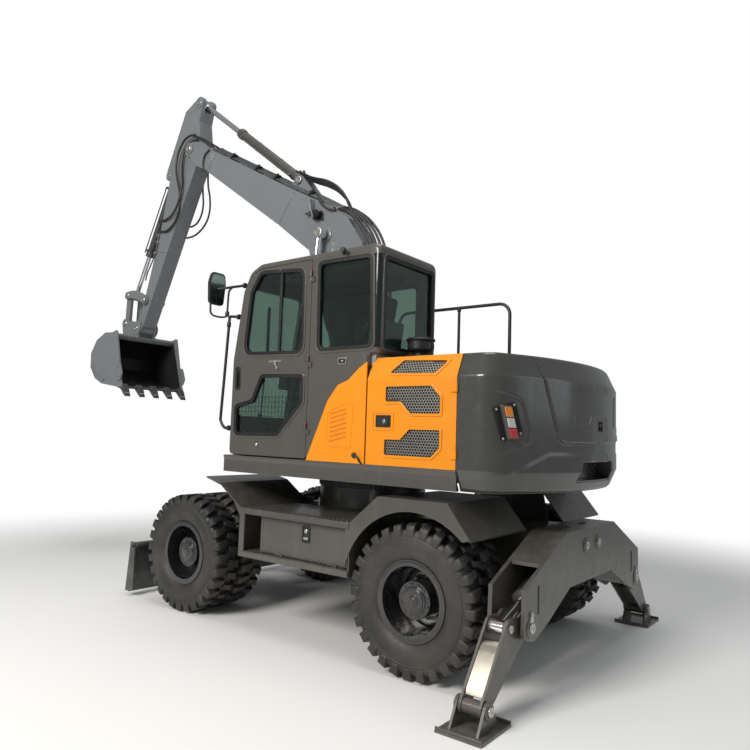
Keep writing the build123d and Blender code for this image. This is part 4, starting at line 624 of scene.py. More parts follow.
# outlines on the skin, as (s, z)
HATCH_EDGE = mirrored([(520, 1660), (572, 1668), (612, 1694), (634, 1735), (757, BELT_Z), (820, 2300)])
HATCH_PRESSED = mirrored([(166, 1862), (214, 1792), (426, 1788), (446, 2048)])
TOW_EDGE = mirrored([(357, 1380), (301, 1520)])
LAMP_POCKET = [(1262, 2018), (1014, 1964), (958, 1938), (884, 1742), (904, 1646), (1122, 1568), (1262, 1528)]
SKIN_TOP = 2257


def tail_rise(s, z):
    """Height of the cast tail's relief over its plain surface."""
    run = abs(s)
    edge = min(SKIN_END - 3 - run, z - 1311, SKIN_TOP - z, -5 - gap_to((s, z), HATCH_EDGE), -gap_to((s, z), TOW_EDGE))
    if edge < -6:
        return None
    ridge = 1586 if run < 708 else 1586 - (run - 708) * 0.40 if run < 1010 else 1465 - (run - 1010) * 0.13
    height = 4 + 6 * smooth((ridge - z) / 16)
    pocket = smooth(gap_to((run, z), LAMP_POCKET) / 12) * smooth((1262 - run) / 150)
    return -1.5 + smooth(edge / 9) * (1.5 + height + 3.5 * smooth((run - 860) / 60)) - pocket * (height + 3)


def hatch_rise(s, z):
    edge = min(gap_to((s, z), HATCH_EDGE) - 1, SKIN_TOP - z)
    if edge < -6:
        return None
    return -1.5 + smooth(edge / 9) * 9 - smooth(gap_to((s, z), HATCH_PRESSED) / 10) * 6.5


def skin(name, body, half, rise):
    """Outer skin of the tail as a fine sheet, left out where the relief says nothing is there."""
    piece = Piece(name, body, SHADED_TAIL, angle=30)
    levels = [1308 + 142 * k / 16 for k in range(16)] + [DECK_Z + 645 * k / 74 for k in range(74)]
    levels += [BELT_Z + 164 * k / 18 for k in range(19)]
    steps = int(half / 9)
    rows = []
    for z in levels:
        rows.append([])
        for k in range(-steps, steps + 1):
            s = half * k / steps
            out = rise(s, z)
            if out is not None:
                point = tail_at(s, z, out)
                point.x = max(point.x, -TAIL_R - 1.5)
            rows[-1].append(None if out is None else piece.vert(point))
    for low, high in zip(rows, rows[1:]):
        for k in range(2 * steps):
            quad = (low[k], low[k + 1], high[k + 1], high[k])
            if None not in quad:
                piece.face(quad)
    for v in [v for v in piece.bm.verts if not v.link_faces]:
        piece.bm.verts.remove(v)
    piece.done()


skin("tail_skin", "upper", SKIN_END, tail_rise)
skin("hatch_skin", "rear_hatch", 830, hatch_rise)
latch = Piece("hatch_latch", "rear_hatch", PLASTIC, bevel=2, at=placed((-TAIL_R - 0.5, 0, 1788), (-1, 0, 0)))
latch.ring(rect(-52, 52, -42, 42, 8), rect(-40, 40, -32, 32, 6), "z", -3, 2)
latch.prism(rect(-40, 40, -32, 32, 6), "z", -3, 1)
latch.prism(rect(-30, 30, -4, 24, 5), "z", 0, 3)
latch.turned([(9, 0), (9, 2), (7, 3), (0.4, 3)], (0, -18, 0), UP, 20)
latch.done()


def leaning(half, z0, z1, hand):
    """Four corners of a lamp whose middle moves outwards as it rises."""
    low, high = (3 - 0.288 * z for z in (z0, z1))
    return [(x * hand, z) for x, z in ((low - half, z0), (low + half, z0), (high + half, z1), (high - half, z1))]


# lamp clusters: black plate with four bolts, and a wedge with three lenses
LAMP_S, LAMP_Z = 1075, 1786
LAMP_TURN = CORNER_TURN * LAMP_S / TAIL_ARC
for side, name in SIDES:
    face = placed(tail_at(side * LAMP_S, LAMP_Z), (-cos(LAMP_TURN), side * sin(LAMP_TURN), 0))
    plate = Piece(f"lamp_plate_{name}", "upper", DARK, bevel=3, at=face)
    shape = [(-53, -132), (121, -80), (55, 140), (-119, 96)]
    plate.prism(rounded([(x * side, z) for x, z in shape], 18), "z", -26, 8)
    plate.done()
    bolts = Piece(f"lamp_bolts_{name}", "upper", STEEL, at=face)
    for x, z in ((-42, -112), (98, -72), (44, 118), (-98, 82)):
        bolts.bolt((x * side, z, 8), UP, 7, 6)
    bolts.done()
    housing = Piece(f"lamp_housing_{name}", "upper", GREY, bevel=4, at=face)
    housing.prism(leaning(46, -118, 114, side), "z", 4, 34, leaning(36, -110, 106, side))
    housing.done()
    for lens_name, finish, z0, z1 in (("amber", AMBER, 34, 100), ("white", CLEAR, -36, 26), ("red", RED, -104, -44)):
        glassy = Piece(f"lens_{lens_name}_{name}", "upper", finish, "lamp_lens", bevel=5, segments=3, at=face)
        glassy.prism(leaning(29, z0, z1, side), "z", 30, 42)
        glassy.done()

# ================================================================ cab
# outlines as (x, z), or (y, z) for the windows at front and rear
QUARTER_WINDOW = [(-830, 2345), (-270, 2345), (-250, 3070), (-800, 3060)]
DOOR_UPPER_WINDOW = [(-95, 2335), (625, 2355), (565, 2900), (450, 3075), (-80, 3035)]
DOOR_LOWER_WINDOW = [(-111, 2139), (386, 2153), (493, 1935), (707, 1891), (698, 1638), (161, 1644), (-113, 1919)]
REAR_WINDOW = rect(400, 1066, 2345, 3050)
RIGHT_WINDOW = rect(-700, 600, 2050, 2980)
FRONT_WINDOW = rect(400, 1066, 1800, 2960)
CAB_SIDE = [(-790, 1453), (790, 1453), (790, 2310), (690, 2930), (600, 3100), (470, 3160), (-885, 3160),
            (-885, 2290), (-790, 2290)]
DOOR_SIDE = [(-170, 1462), (760, 1462), (760, 2310), (660, 2930), (570, 3060), (450, 3105), (-170, 3105)]
CAB_WALL, CAB_CORNER = 42, 42
HINGE_LEVELS, HINGE_Y = (1700, 2250, 2960), CAB_LEFT_Y + 11


def cutter(outline, axis, low, high):
    tool = Piece("cutter", "upper", CAB)
    tool.prism(outline, axis, low, high)
    return tool


def through(outline):
    """Cutter through the cab's left wall."""
    return cutter(outline, "y", CAB_LEFT_Y - 50, CAB_LEFT_Y + 10)


def flank(piece, outline, low, high):
    """Plate on the cab's left side, between two distances from its face."""
    piece.prism(outline, "y", CAB_LEFT_Y + low, CAB_LEFT_Y + high)


def soft_side(outline, radii):
    """Outline with its own radius at each corner."""
    out = []
    for corner, radius in zip(corners(outline), radii):
        out += rounded(corner, radius, 6)[7:14]
    return out


def cab_row(y, deep):
    """Outline of the cab at one y, drawn in by a distance; its last corner is a hollow one."""
    radii = [r - deep for r in (46, 64, 140, 120, 110, 150, 90, 46)] + [30 + deep]
    return [(x, y, z) for x, z in soft_side(inset(CAB_SIDE, deep), radii)]


shell = Piece("cab_shell_skin", "upper", CAB, bevel=3, angle=25)
turns = [(1 - cos(a), CAB_CORNER * (1 - sin(a))) for a in (pi / 2 * k / 6 for k in range(7))]
shell.loft([cab_row(CAB_RIGHT_Y + CAB_CORNER * share, deep) for share, deep in turns]
           + [cab_row(CAB_LEFT_Y - CAB_CORNER * share, deep) for share, deep in reversed(turns)])
shell.carved(
    through(soft_side(inset(DOOR_SIDE, -5), [12, 45, 130, 110, 100, 150, 16])),
    through(rounded(QUARTER_WINDOW, 55)),
    cutter(rounded(REAR_WINDOW, 40), "x", -895, -838),
    cutter(rounded(RIGHT_WINDOW, 60), "y", CAB_RIGHT_Y - 10, CAB_RIGHT_Y + 47),
    cutter(rounded(FRONT_WINDOW, 60), "x", 560, 820),
    # the inside comes last
    cutter(soft_side(inset(CAB_SIDE, CAB_WALL), [32, 32, 90, 80, 80, 100, 60, 40, 30]), "y",
           CAB_RIGHT_Y + CAB_WALL, CAB_LEFT_Y - CAB_WALL),
)
leaf = Piece("cab_door_skin", "cab_door", CAB, bevel=4, segments=3, angle=25)
flank(leaf, soft_side(DOOR_SIDE, [10, 40, 130, 110, 100, 150, 14]), -CAB_WALL, 0)
leaf.carved(through(rounded(DOOR_UPPER_WINDOW, 90)), through(rounded(DOOR_LOWER_WINDOW, 45)))
hinges = Piece("hinge_caps", "upper", RED)
for z in HINGE_LEVELS:
    shell.rod((-172.5, HINGE_Y, z - 44), (-172.5, HINGE_Y, z + 2), 8.5)
    flank(shell, rect(-210, -172, z - 42, z - 2), -2, 12)
    leaf.rod((-172.5, HINGE_Y, z + 3), (-172.5, HINGE_Y, z + 44), 8.5)
    flank(leaf, rect(-172, -120, z + 5, z + 42), -2, 8)
    hinges.turned([(8, 0), (8, 8), (5, 11), (0.5, 11)], (-174, HINGE_Y, z + 45), UP, 14)
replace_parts(shell.done(), "cab_shell")
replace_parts(leaf.done(), "cab_door")

# rubber seal in each window opening, with the painted rim pressed round it
for name, body, outline, axis, face, out, radius in (
    ("door_upper", "cab_door", DOOR_UPPER_WINDOW, "y", CAB_LEFT_Y, 1, 90),
    ("door_lower", "cab_door", DOOR_LOWER_WINDOW, "y", CAB_LEFT_Y, 1, 45),
    ("quarter", "upper", QUARTER_WINDOW, "y", CAB_LEFT_Y, 1, 55),
    ("rear", "upper", REAR_WINDOW, "x", -885, -1, 40),
    ("right", "upper", RIGHT_WINDOW, "y", CAB_RIGHT_Y, -1, 60),
):
    seal = Piece(f"seal_{name}", body, GASKET, bevel=2)
    seal.ring(rounded(inset(outline, -12), radius + 8), rounded(inset(outline, 16), radius - 12), axis,
              face - out * 34, face + out * 4)
    seal.done()
    rim = Piece(f"rim_{name}", body, CAB, bevel=3, segments=3)
    rim.ring(rounded(inset(outline, -30), radius + 22), rounded(inset(outline, -13), radius + 9), axis,
             face - out * 2, face + out * 7)
    rim.done()

glaze = plastic("corner_glaze", (0.008, 0.012, 0.011), 0.10, 0.0)
corner = Piece("corner_glass", "upper", glaze, "black_plastic", angle=50)
quarter_turn = [pi / 2 * k / 10 for k in range(11)]
bend = [(-812, 1138.5), *((-843 - 44.5 * sin(a), 1094 + 44.5 * cos(a)) for a in quarter_turn), (-887.5, 1060)]
bend += [(x + 6, y - 6) for x, y in reversed(bend)]
corner.loft([[(x, y, z) for x, y in bend] for z in (2338, 2346, 3060, 3068)])
corner.done()

roof = Piece("cab_roof_hatch", "upper", CAB, bevel=8, segments=4)
roof.prism(rect(-560, 180, 470, 1000, 70), "z", 3150, 3172, rect(-545, 165, 485, 985, 60))
roof.prism(rect(-80, 40, 700, 770, 20), "z", 3168, 3184)
roof.done()

door = Piece("door_fittings", "cab_door", PLASTIC, bevel=1.5)
door.box(180, 200, CAB_LEFT_Y - 26, CAB_LEFT_Y - 4, 2348, 3046)
door.box(200, 212, CAB_LEFT_Y - 20, CAB_LEFT_Y - 8, 2350, 3044)
flank(door, rect(-78, -54, 2640, 2745, 8), -12, 8)
flank(door, rect(-70, -62, 2672, 2715, 3), 0, 16)
# pull handle in its oval dish
dish = [(655, 2035), (722, 2030), (728, 2240), (668, 2244)]
door.ring(rounded(dish, 30), rounded(inset(dish, 9), 24), "y", CAB_LEFT_Y - 3, CAB_LEFT_Y + 7)
flank(door, rounded(inset(dish, 8), 24), -2, 1)
flank(door, rounded([(680, 2062), (702, 2060), (708, 2212), (686, 2214)], 10), 0, 24)
flank(door, rounded([(676, 2150), (712, 2150), (714, 2206), (680, 2208)], 10), 0, 15)
door.done()


def crossings(outline, value, axis):
    """Where a line of constant x or z crosses the outline."""
    hits = []
    for a, b in zip(outline, outline[1:] + outline[:1]):
        if (a[axis] - value) * (b[axis] - value) < 0:
            share = (value - a[axis]) / (b[axis] - a[axis])
            hits.append(a[1 - axis] + share * (b[1 - axis] - a[1 - axis]))
    return sorted(hits)


# wire grid behind the lower window: uprights up to its top bar, then level bars
GUARD_TOP, GUARD_STEP = 1985, 42
wires = Piece("window_guard", "cab_door", PLASTIC)
for axis, count, first, y in ((0, 15, 110, CAB_LEFT_Y - 38), (1, 8, 1672, CAB_LEFT_Y - 42)):
    for place in (first + GUARD_STEP * k for k in range(count)):
        spans = crossings(DOOR_LOWER_WINDOW, place, axis)
        if len(spans) == 2:
            low, high = spans
            ends = ([(place, y, low), (place, y, min(high, GUARD_TOP))] if axis == 0
                    else [(low, y, place), (high, y, place)])
            wires.rod(*ends, 2.2, 6)
wires.done()

catch = Piece("door_catches", "cab_door", STEEL, bevel=1)
flank(catch, rect(150, 300, 2262, 2282, 6), -1, 6)
flank(catch, rounded([(214, 2262), (238, 2258), (190, 2196), (172, 2204)], 7), 8, 16)
for profile, x, y, z, count in (
    ([(15, 0), (15, 12), (12, 15), (0.5, 15)], 222, CAB_LEFT_Y + 2, 2262, 24),
    ([(15, 0), (17, 5), (12, 16), (5, 20), (0.5, 21)], 400, CAB_LEFT_Y, 1555, 24),
    ([(7, 0), (7, 5), (5, 7), (0.5, 7)], 205, CAB_LEFT_Y, 3070, 16),
):
    catch.turned(profile, (x, y, z), LEFT, count)
catch.done()
hinges.done()

cab_bits = Piece("cab_fittings", "upper", PLASTIC, bevel=1.5)
plate = rect(-580, -492, 2215, 2270)
flank(cab_bits, rounded(inset(plate, 8), 12), -2, 5)
# small lamp on its bracket under the roof's edge
cab_bits.rod((-505, CAB_LEFT_Y - 4, 3112), (-548, CAB_LEFT_Y + 62, 3134), 11)
cab_bits.rod((-540, CAB_LEFT_Y + 30, 3128), (-556, CAB_LEFT_Y + 74, 3122), 20)
# front wiper and its motor
cab_bits.rod((782, 760, 1830), (776, 720, 2500), 7)
cab_bits.box(772, 780, 700, 735, 2180, 2860)
cab_bits.rod((775, 760, 1815), (800, 760, 1815), 22)
cab_bits.done()
rimmed = Piece("keyhole_rim", "upper", STEEL, bevel=1)
rimmed.ring(rounded(plate, 16), rounded(inset(plate, 8), 10), "y", CAB_LEFT_Y - 2, CAB_LEFT_Y + 8)
rimmed.turned([(9, 0), (9, 4), (7, 6), (0.5, 6)], (-536, CAB_LEFT_Y + 4, 2242), LEFT, 20)
rimmed.done()

# moulding along the skirt, turned round its front corner
skirt = Piece("skirt_moulding", "upper", GREY, angle=50)
section = [
    (1146, 1449), (1153, 1447), (1158, 1441), (1158, 1434), (1153, 1429), (1151, 1400), (1150, 1372), (1147, 1350),
    (1141, 1328), (1132, 1312), (1120, 1305), (1104, 1306), (1104, 1320), (1140, 1380),
]
SKIRT_X, SKIRT_TURN_Y = 788, 1087
for side, _ in SIDES:
    skirt.loft([[(x, side * y, z) for y, z in section] for x in (TAIL_X + 4, SKIRT_X)])
    skirt.loft([
        [(SKIRT_X + sin(a) * (y - SKIRT_TURN_Y), side * (SKIRT_TURN_Y + (y - SKIRT_TURN_Y) * cos(a)), z)
         for y, z in section] for a in (pi / 2 * k / 8 for k in range(9))
    ])
skirt.done()

# ================================================================ engine doors and side panels
GRILLES = [
    [(-983, 2035), (-1385, 2035), (-1466, 1952), (-1466, 1830), (-1208, 1830), (-1121, 1916), (-983, 1916)],
    [(-982, 1645), (-1122, 1645), (-1203, 1722), (-1466, 1722), (-1466, 1592), (-1393, 1524), (-982, 1524)],
]
BAND_GRILLE = [(605, 35), (499, 150), (99, 132), (189, 22)]
HOLE_PITCH = 23.0
MESH_METAL = metal("grille_metal", (0.30, 0.285, 0.25), 0.40, scratched=0.03)


def perforated(piece, outline, thick):
    """Sheet with round holes in a close-packed pattern, in its own x and y plane."""
    row_step = HOLE_PITCH * sqrt(3) / 2
    xs, ys = zip(*outline)
    hexagon = [pi / 6 + pi / 3 * k for k in range(6)]
    for j in range(int((max(ys) - min(ys)) / row_step) + 3):
        for i in range(int((max(xs) - min(xs)) / HOLE_PITCH) + 3):
            x = min(xs) + (i - 0.5 + 0.5 * (j % 2)) * HOLE_PITCH
            y = min(ys) + (j - 0.5) * row_step
            rim, hole = ([(x + r * cos(a), y + r * sin(a)) for a in hexagon]
                         for r in (HOLE_PITCH / sqrt(3), HOLE_PITCH * 0.42))
            if all(gap_to(p, inset(outline, -7)) > 0 for p in rim):
                rows = ((rim, thick), (hole, thick), (hole, thick - 3))
                piece.loft([[(u, v, z) for u, v in row] for row, z in rows], caps=False)
                if gap_to((x, y), outline) < 0:
                    piece.face([piece.vert((u, v, thick)) for u, v in rim])


for side, name in SIDES:
    body = f"engine_door_{name}"
    flat = Matrix.Translation((0, side * (UPPER_HALF_W - 10), 0)) @ Matrix(
        ((1, 0, 0, 0), (0, 0, side, 0), (0, 1, 0, 0), (0, 0, 0, 1)))
    lean = atan2(BELT_IN, HOOD_TOP_Z - BELT_Z)
    up_band = Vector((0, -side * sin(lean), cos(lean)))
    out_band = Vector((0, side * cos(lean), sin(lean)))
    band = Matrix.Translation(Vector((TAIL_X, side * UPPER_HALF_W, BELT_Z)) - out_band * 10) @ Matrix(
        (Vector((1, 0, 0)), up_band, out_band)).transposed().to_4x4()
    sheets = Piece(f"grille_sheets_{name}", body, MESH_METAL, "chrome", angle=25)
    shade_backs = Piece(f"grille_painted_shade_{name}", body, DARK)
    edges = Piece(f"grille_edges_{name}", body, ORANGE, bevel=2.5, segments=3)
    for plane, outline in ((flat, GRILLES[0]), (flat, GRILLES[1]), (band, BAND_GRILLE)):
        sheets.at = shade_backs.at = edges.at = plane
        perforated(sheets, outline, 5.5)
        # painted shade: a near-black sheet behind the holes, for the shadowed space behind the grille
        shade_backs.prism(inset(outline, -1), "z", -2, 0.6)
        edges.ring(rounded(inset(outline, -15), 26), rounded(inset(outline, 4), 14), "z", 6, 17)
    # embossed square with its recessed lock
    edges.at = flat
    square = rect(-1050, -878, 1718, 1832)
    edges.ring(rounded(inset(square, -12), 10), rounded(inset(square, -2), 5), "z", 8, 15)
    for piece in (edges, sheets, shade_backs):
        piece.done()
    lock = Piece(f"door_lock_{name}", body, PLASTIC, bevel=2, at=flat)
    box = rect(-1036, -898, 1730, 1820)
    lock.ring(rounded(box, 8), rounded(inset(box, 9), 5), "z", 8, 14)
    lock.prism(rounded(inset(box, 8), 5), "z", 8, 10.8)
    lock.prism(rect(-1018, -960, 1744, 1806, 8), "z", 9, 17)
    lock.done()
    key = Piece(f"door_key_{name}", body, STEEL, bevel=0.6, at=flat)
    key.turned([(15, 10), (15, 19), (12, 21), (0.4, 21)], (-978, 1775, 0), UP, 24)
    key.box(-981, -975, 1766, 1784, 20, 23)
    key.done()

louvres = Piece("front_panel_louvres", "upper", ORANGE, bevel=1.5, angle=25)
face = CAB_LEFT_Y + 13.8
panel = [(-405, 1565), (-660, 1565), (-675, 1905), (-595, 1908), (-415, 1842)]
louvres.ring(rounded(panel, 14), rounded(inset(panel, 4), 11), "y", face - 2, face + 2.5)
for z in (1600 + 36 * k for k in range(7)):
    lip = [(-438, z), (-436, z + 15), (-604, z + 55), (-606, z + 40)]
    louvres.prism(rounded(lip, 7), "y", face - 3, face + 1, rounded([(x, v + 4) for x, v in inset(lip, 4)], 5))
    # small hood over the slot
    hood_lip = [(-440, z + 9), (-438, z + 15), (-604, z + 55), (-606, z + 49)]
    louvres.prism(rounded(hood_lip, 3), "y", face - 2, face + 9, rounded(inset(hood_lip, 0.8), 2))
louvres.done()

sill = Piece("panel_stay", "upper", PLASTIC, bevel=2)
sill.turned([(20, 0), (22, 8), (18, 18), (10, 22), (0.5, 22)], (-700, face - 2, 1512), LEFT, 24)
sill.tube([(-700, face + 14, 1512), (-740, face + 18, 1502), (-762, face + 12, 1466), (-776, face + 6, 1456)], 8)
sill.done()

seams = Piece("door_seams", "upper", DARK)
for side, _ in SIDES:
    y = side * (UPPER_HALF_W - 30)
    seams.box(TAIL_X - 2, TAIL_X + 8.5, y, y - side * 4, DECK_Z + 2, BELT_Z)
seams.box(-812, -794, UPPER_HALF_W - 40, UPPER_HALF_W - 30, DECK_Z + 2, 2200)
seams.done()

# ================================================================ hood, handrail, pre-cleaner, mirror
def at_y(y, *line):
    """Points of a line of (x, z) at one y."""
    return [(x, y, z) for x, z in line]


BOWL_X, BOWL_Y = -1000, 730
bowl = Piece("pre_cleaner_bowl", "upper", PLASTIC, angle=28)
bowl.turned([(58, 0), (58, 60), (70, 74), (96, 84), (104, 96), (106, 150), (102, 158), (103, 162), (116, 164),
             (118, 172), (112, 181), (88, 189), (40, 194), (0.5, 195)], (BOWL_X, BOWL_Y, HOOD_TOP_Z), UP, 48)
for a in angles(24):
    low, high = ((BOWL_X + r * cos(a), BOWL_Y + r * sin(a), HOOD_TOP_Z + z) for r, z in ((105, 100), (104, 146)))
    bowl.rod(low, high, 3.5, 6)
bowl.turned([(66, 0), (66, 14), (60, 16)], (BOWL_X, BOWL_Y, HOOD_TOP_Z + 28), UP, 32)
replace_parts(bowl.done(), "pre_cleaner")

hood = Piece("hood_panels", "upper", SHADED_TAIL, bevel=5, segments=3)
hood.prism(rect(-1560, -860, -960, 560, 60), "z", HOOD_TOP_Z - 2, HOOD_TOP_Z + 9)
hood.prism(rect(-1500, -1240, 640, 960, 30), "z", HOOD_TOP_Z - 2, HOOD_TOP_Z + 8)
hood.turned([(62, 0), (62, 8), (58, 60), (50, 66), (0.5, 66)], (-1360, -640, HOOD_TOP_Z + 6), UP, 32)
hood.done()

RAIL_Y = -1020
clamps = Piece("rail_clamps", "upper", PLASTIC, bevel=1.5)
for x, z in ((-900, HOOD_TOP_Z), (480, 2060), (-304, 2060)):
    clamps.prism(rect(x - 44, x + 44, RAIL_Y - 36, RAIL_Y + 36, 10), "z", z - 1, z + 9)
    clamps.turned([(24, 0), (24, 60), (20, 66), (17.5, 66)], (x, RAIL_Y, z), UP, 24)
    for dx in (-32, 32):
        clamps.bolt((x + dx, RAIL_Y, z + 9), UP, 8, 7)
clamps.turned([(19, 0), (21, 8), (21, 40), (19, 48)], (-304, RAIL_Y, 3010), UP, 20)
clamps.done()

# grab rail up the door's front edge, with the mirror's two arms
GRAB_Y = CAB_LEFT_Y - 14
bars = Piece("grab_rail", "upper", PLASTIC, angle=50)
bars.tube(at_y(GRAB_Y, (732, 2700), (800, 2708), (850, 2713), (866, 2700), (872, 2620), (900, 2150), (922, 1800),
               (918, 1755), (890, 1715), (858, 1692), (830, 1690), (790.5, 1690)), 13, 14)
bars.tube(at_y(GRAB_Y, (664, 2984), (790, 2988), (880, 2990)) + [(945, 1140, 2986), (1012, 1166, 2980)], 12, 12)
bars.tube(at_y(GRAB_Y, (852, 2986), (890, 2960), (902, 2900), (905, 2760), (914, 2724))
          + [(950, 1146, 2712), (1000, 1196, 2722), (1020, 1222, 2752), (1024, 1226, 2830)], 9.5, 12)
bars.tube(at_y(GRAB_Y, (866, 2700), (880, 2716), (908, 2730)), 10, 10)
for x, z in ((740, 2701), (800, 1690), (676, 2984)):
    bars.rod((x - 14, GRAB_Y, z), (x + 14, GRAB_Y, z), 24, 20)
for x, z in ((905, 2742), (872, 2640)):
    bars.rod((x, GRAB_Y, z - 22), (x, GRAB_Y, z + 22), 19, 16)
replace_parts(bars.done(), "mirror")

head = Piece("mirror_head", "upper", PLASTIC, angle=40, at=placed((1004, 1170, 2980), (-1, 0.1, 0)))
shape = rounded([(-78, -150), (70, -155), (88, 60), (74, 150), (-64, 155), (-88, 60)], 38, 6)
head.loft([[(x * k, y * k, z) for x, y in shape] for k, z in
           ((0.93, 4), (1.0, 2), (1.0, -18), (0.94, -38), (0.78, -50), (0.4, -56))])
head.done()
silver = Piece("mirror_glass", "upper", MIRROR_FACE, angle=40, at=head.at)
silver.prism([(x * 0.88, y * 0.88) for x, y in shape], "z", 3, 5.5)
silver.done()

# ================================================================ seat and controls
FLOOR_Z, MID_Y = 1492.6, 733


def over_floor(*outline):
    """Outline of (x, height over the cab's floor)."""
    return [(x, FLOOR_Z + h) for x, h in outline]


def cushion(name, size, place, tilt):
    """Padded block: puffed faces, drawn-in sides and a welt round its edge."""
    pad = Piece(name, "upper", SEAT, angle=180)
    bmesh.ops.create_cube(pad.bm, size=1.0)
    bmesh.ops.subdivide_edges(pad.bm, edges=pad.bm.edges[:], cuts=17, use_grid_fill=True)
    lx, ly, lz = size
    for v in pad.bm.verts:
        x, y, z = v.co * 2
        puff = (1 - min(max(abs(x), abs(y)), 1) ** 6) * 0.12
        tuck = (1 - 0.05 * cos(z * pi / 2)) * (1 - 0.0825 * abs(x * y) ** 6)
        groove = 0.05 * exp(-((abs(y) - 0.62) / 0.035) ** 2)
        if abs(y) < 0.62:
            groove += 0.04 * exp(-((x - 0.15) / 0.03) ** 2)
        crease = copysign(groove, z) if abs(z) > 0.6 else 0.0
        v.co = x * tuck * lx / 2, y * tuck * ly / 2, (z * (0.88 + puff) - crease) * lz / 2
    obj = pad.done()
    obj.data.transform(Matrix.Translation(Vector(place) * MM) @ Matrix.Rotation(radians(tilt), 4, "Y"))
    soft = obj.modifiers.new("soften", "SUBSURF")
    soft.levels = soft.render_levels = 1


cushion("seat_cushion", (520, 480, 130), (-290, MID_Y, FLOOR_Z + 395), -4)
cushion("seat_back", (640, 460, 120), (-535, MID_Y, FLOOR_Z + 790), 80)
cushion("head_rest", (200, 270, 90), (-612, MID_Y, FLOOR_Z + 1230), 80)

base = Piece("seat_base", "upper", TRIM, bevel=6, segments=3)
base.prism(over_floor((-500, 0), (-80, 0), (-110, 120), (-470, 120)), "y", MID_Y - 180, MID_Y + 180)
for k in range(6):
    z, fold = FLOOR_Z + 122 + 30 * k, 6 * (k % 2)
    base.box(-480 + fold, -100 - fold, MID_Y - 170, MID_Y + 170, z, z + 29)
base.box(-530, -50, MID_Y - 215, MID_Y + 215, FLOOR_Z + 304, FLOOR_Z + 330)
base.prism(over_floor((-575, 320), (-540, 320), (-650, 1120), (-690, 1120)), "y", MID_Y - 200, MID_Y + 200)
for side, _ in SIDES:
    # console with its arm rest and lever
    base.prism(rounded(over_floor((-520, 400), (-30, 440), (-10, 620), (-60, 660), (-420, 640), (-520, 560)), 35), "y",
               MID_Y + side * 248, MID_Y + side * 338)
    base.prism(rounded(over_floor((-460, 640), (-180, 660), (-180, 700), (-470, 690)), 14), "y",
               MID_Y + side * 253, MID_Y + side * 333)
    y = MID_Y + side * 293
    base.turned([(38, 0), (34, 12), (24, 30), (15, 48), (12, 60)], (-80, y, FLOOR_Z + 655), (0.1, 0, 1), 20)
    base.rod((-80, y, FLOOR_Z + 660), (-62, y, FLOOR_Z + 800), 9)
    base.turned([(12, 0), (19, 20), (22, 60), (25, 95), (20, 122), (8, 132), (0.5, 133)],
                (-66, y, FLOOR_Z + 770), (0.14, 0, 1), 20)
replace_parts(base.done(), "cab_interior")

dash = Piece("steering_column", "upper", TRIM, bevel=3)
dash.tube(at_y(MID_Y, *over_floor((470, 0), (455, 250), (400, 560), (350, 740))), 38, 20)
dash.prism(rounded(over_floor((400, 560), (500, 560), (470, 760), (400, 760)), 24), "y", MID_Y - 90, MID_Y + 90)
WHEEL_R = 190
dash.at = placed((330, MID_Y, FLOOR_Z + 770), (-0.45, 0, 0.9))
dash.tube([(WHEEL_R * cos(a), WHEEL_R * sin(a), 0) for a in (2 * pi * k / 40 for k in range(41))], 14, 12, 2)
dash.turned([(44, -40), (48, 0), (40, 14), (0.5, 16)], (0, 0, 0), UP, 28)
for a in (0.5, 2.6, 4.7):
    dash.tube([(r * cos(a), r * sin(a), 0) for r in (30, WHEEL_R)], 10, 10)
dash.at = Matrix.Identity(4)
# display, pedals and ribs of the floor mat
dash.prism(rounded([(560, 1980), (640, 1980), (640, 2210), (590, 2240), (560, 2220)], 14), "y", 420, 560)
for y in (MID_Y - 110, MID_Y + 110):
    dash.prism(over_floor((520, 0), (640, 0), (650, 110), (600, 120)), "y", y - 45, y + 45)
for x in (-640 + 130 * k for k in range(9)):
    dash.box(x, x + 8, CAB_RIGHT_Y + 50, CAB_LEFT_Y - 50, FLOOR_Z, FLOOR_Z + 5)
dash.done()

lining = Piece("cab_lining", "upper", TRIM, bevel=4)
lining.box(-835, -790, CAB_RIGHT_Y + 46, CAB_LEFT_Y - 46, 2046, 2338)
lining.box(-780, 560, CAB_RIGHT_Y + 50, CAB_LEFT_Y - 60, 3072, 3096)
lining.box(-740, -640, CAB_RIGHT_Y + 46, CAB_LEFT_Y - 48, FLOOR_Z, FLOOR_Z + 520)
for y in (CAB_RIGHT_Y + 60, CAB_LEFT_Y - 60):
    lining.tube([(-838, y, 2340), (-838, y, 3060)], 22, 12)
lining.tube([(x, MID_Y + dy, z) for x, dy, z in
             ((-820, 220, 3058), (-500, 250, 3052), (-100, 240, 3046), (300, 180, 3040))], 24, 12)
lining.done()

# ================================================================ boom, arm and their lines
# pivots as (x, z)
ARM_PIVOT, ARM_CYL_EYE, BUCKET_CYL_BASE = (3000, 5195), (2900, 5795), (3461, 4955)
BOOM_CYL_EYE, ARM_CYL_BASE = (620, 3700), (1100, 4410)
ROCKER_PIVOT, LINK_TOP, LINK_FOOT, ARM_TIP = (3806, 3333), (4211, 3436), (4222, 3055), (3947, 2972)


def both_sides(piece, profile, centre, y, count):
    """The same turned shape on both sides of the machine's middle."""
    for side, _ in SIDES:
        piece.turned(profile, (centre[0], side * y, centre[1]), (0, side, 0), count)


def seam(piece, y, *line):
    """Weld seam along (x, z) points."""
    for a, b in zip(line, line[1:]):
        piece.tube(at_y(y, a, b), 5, 8)


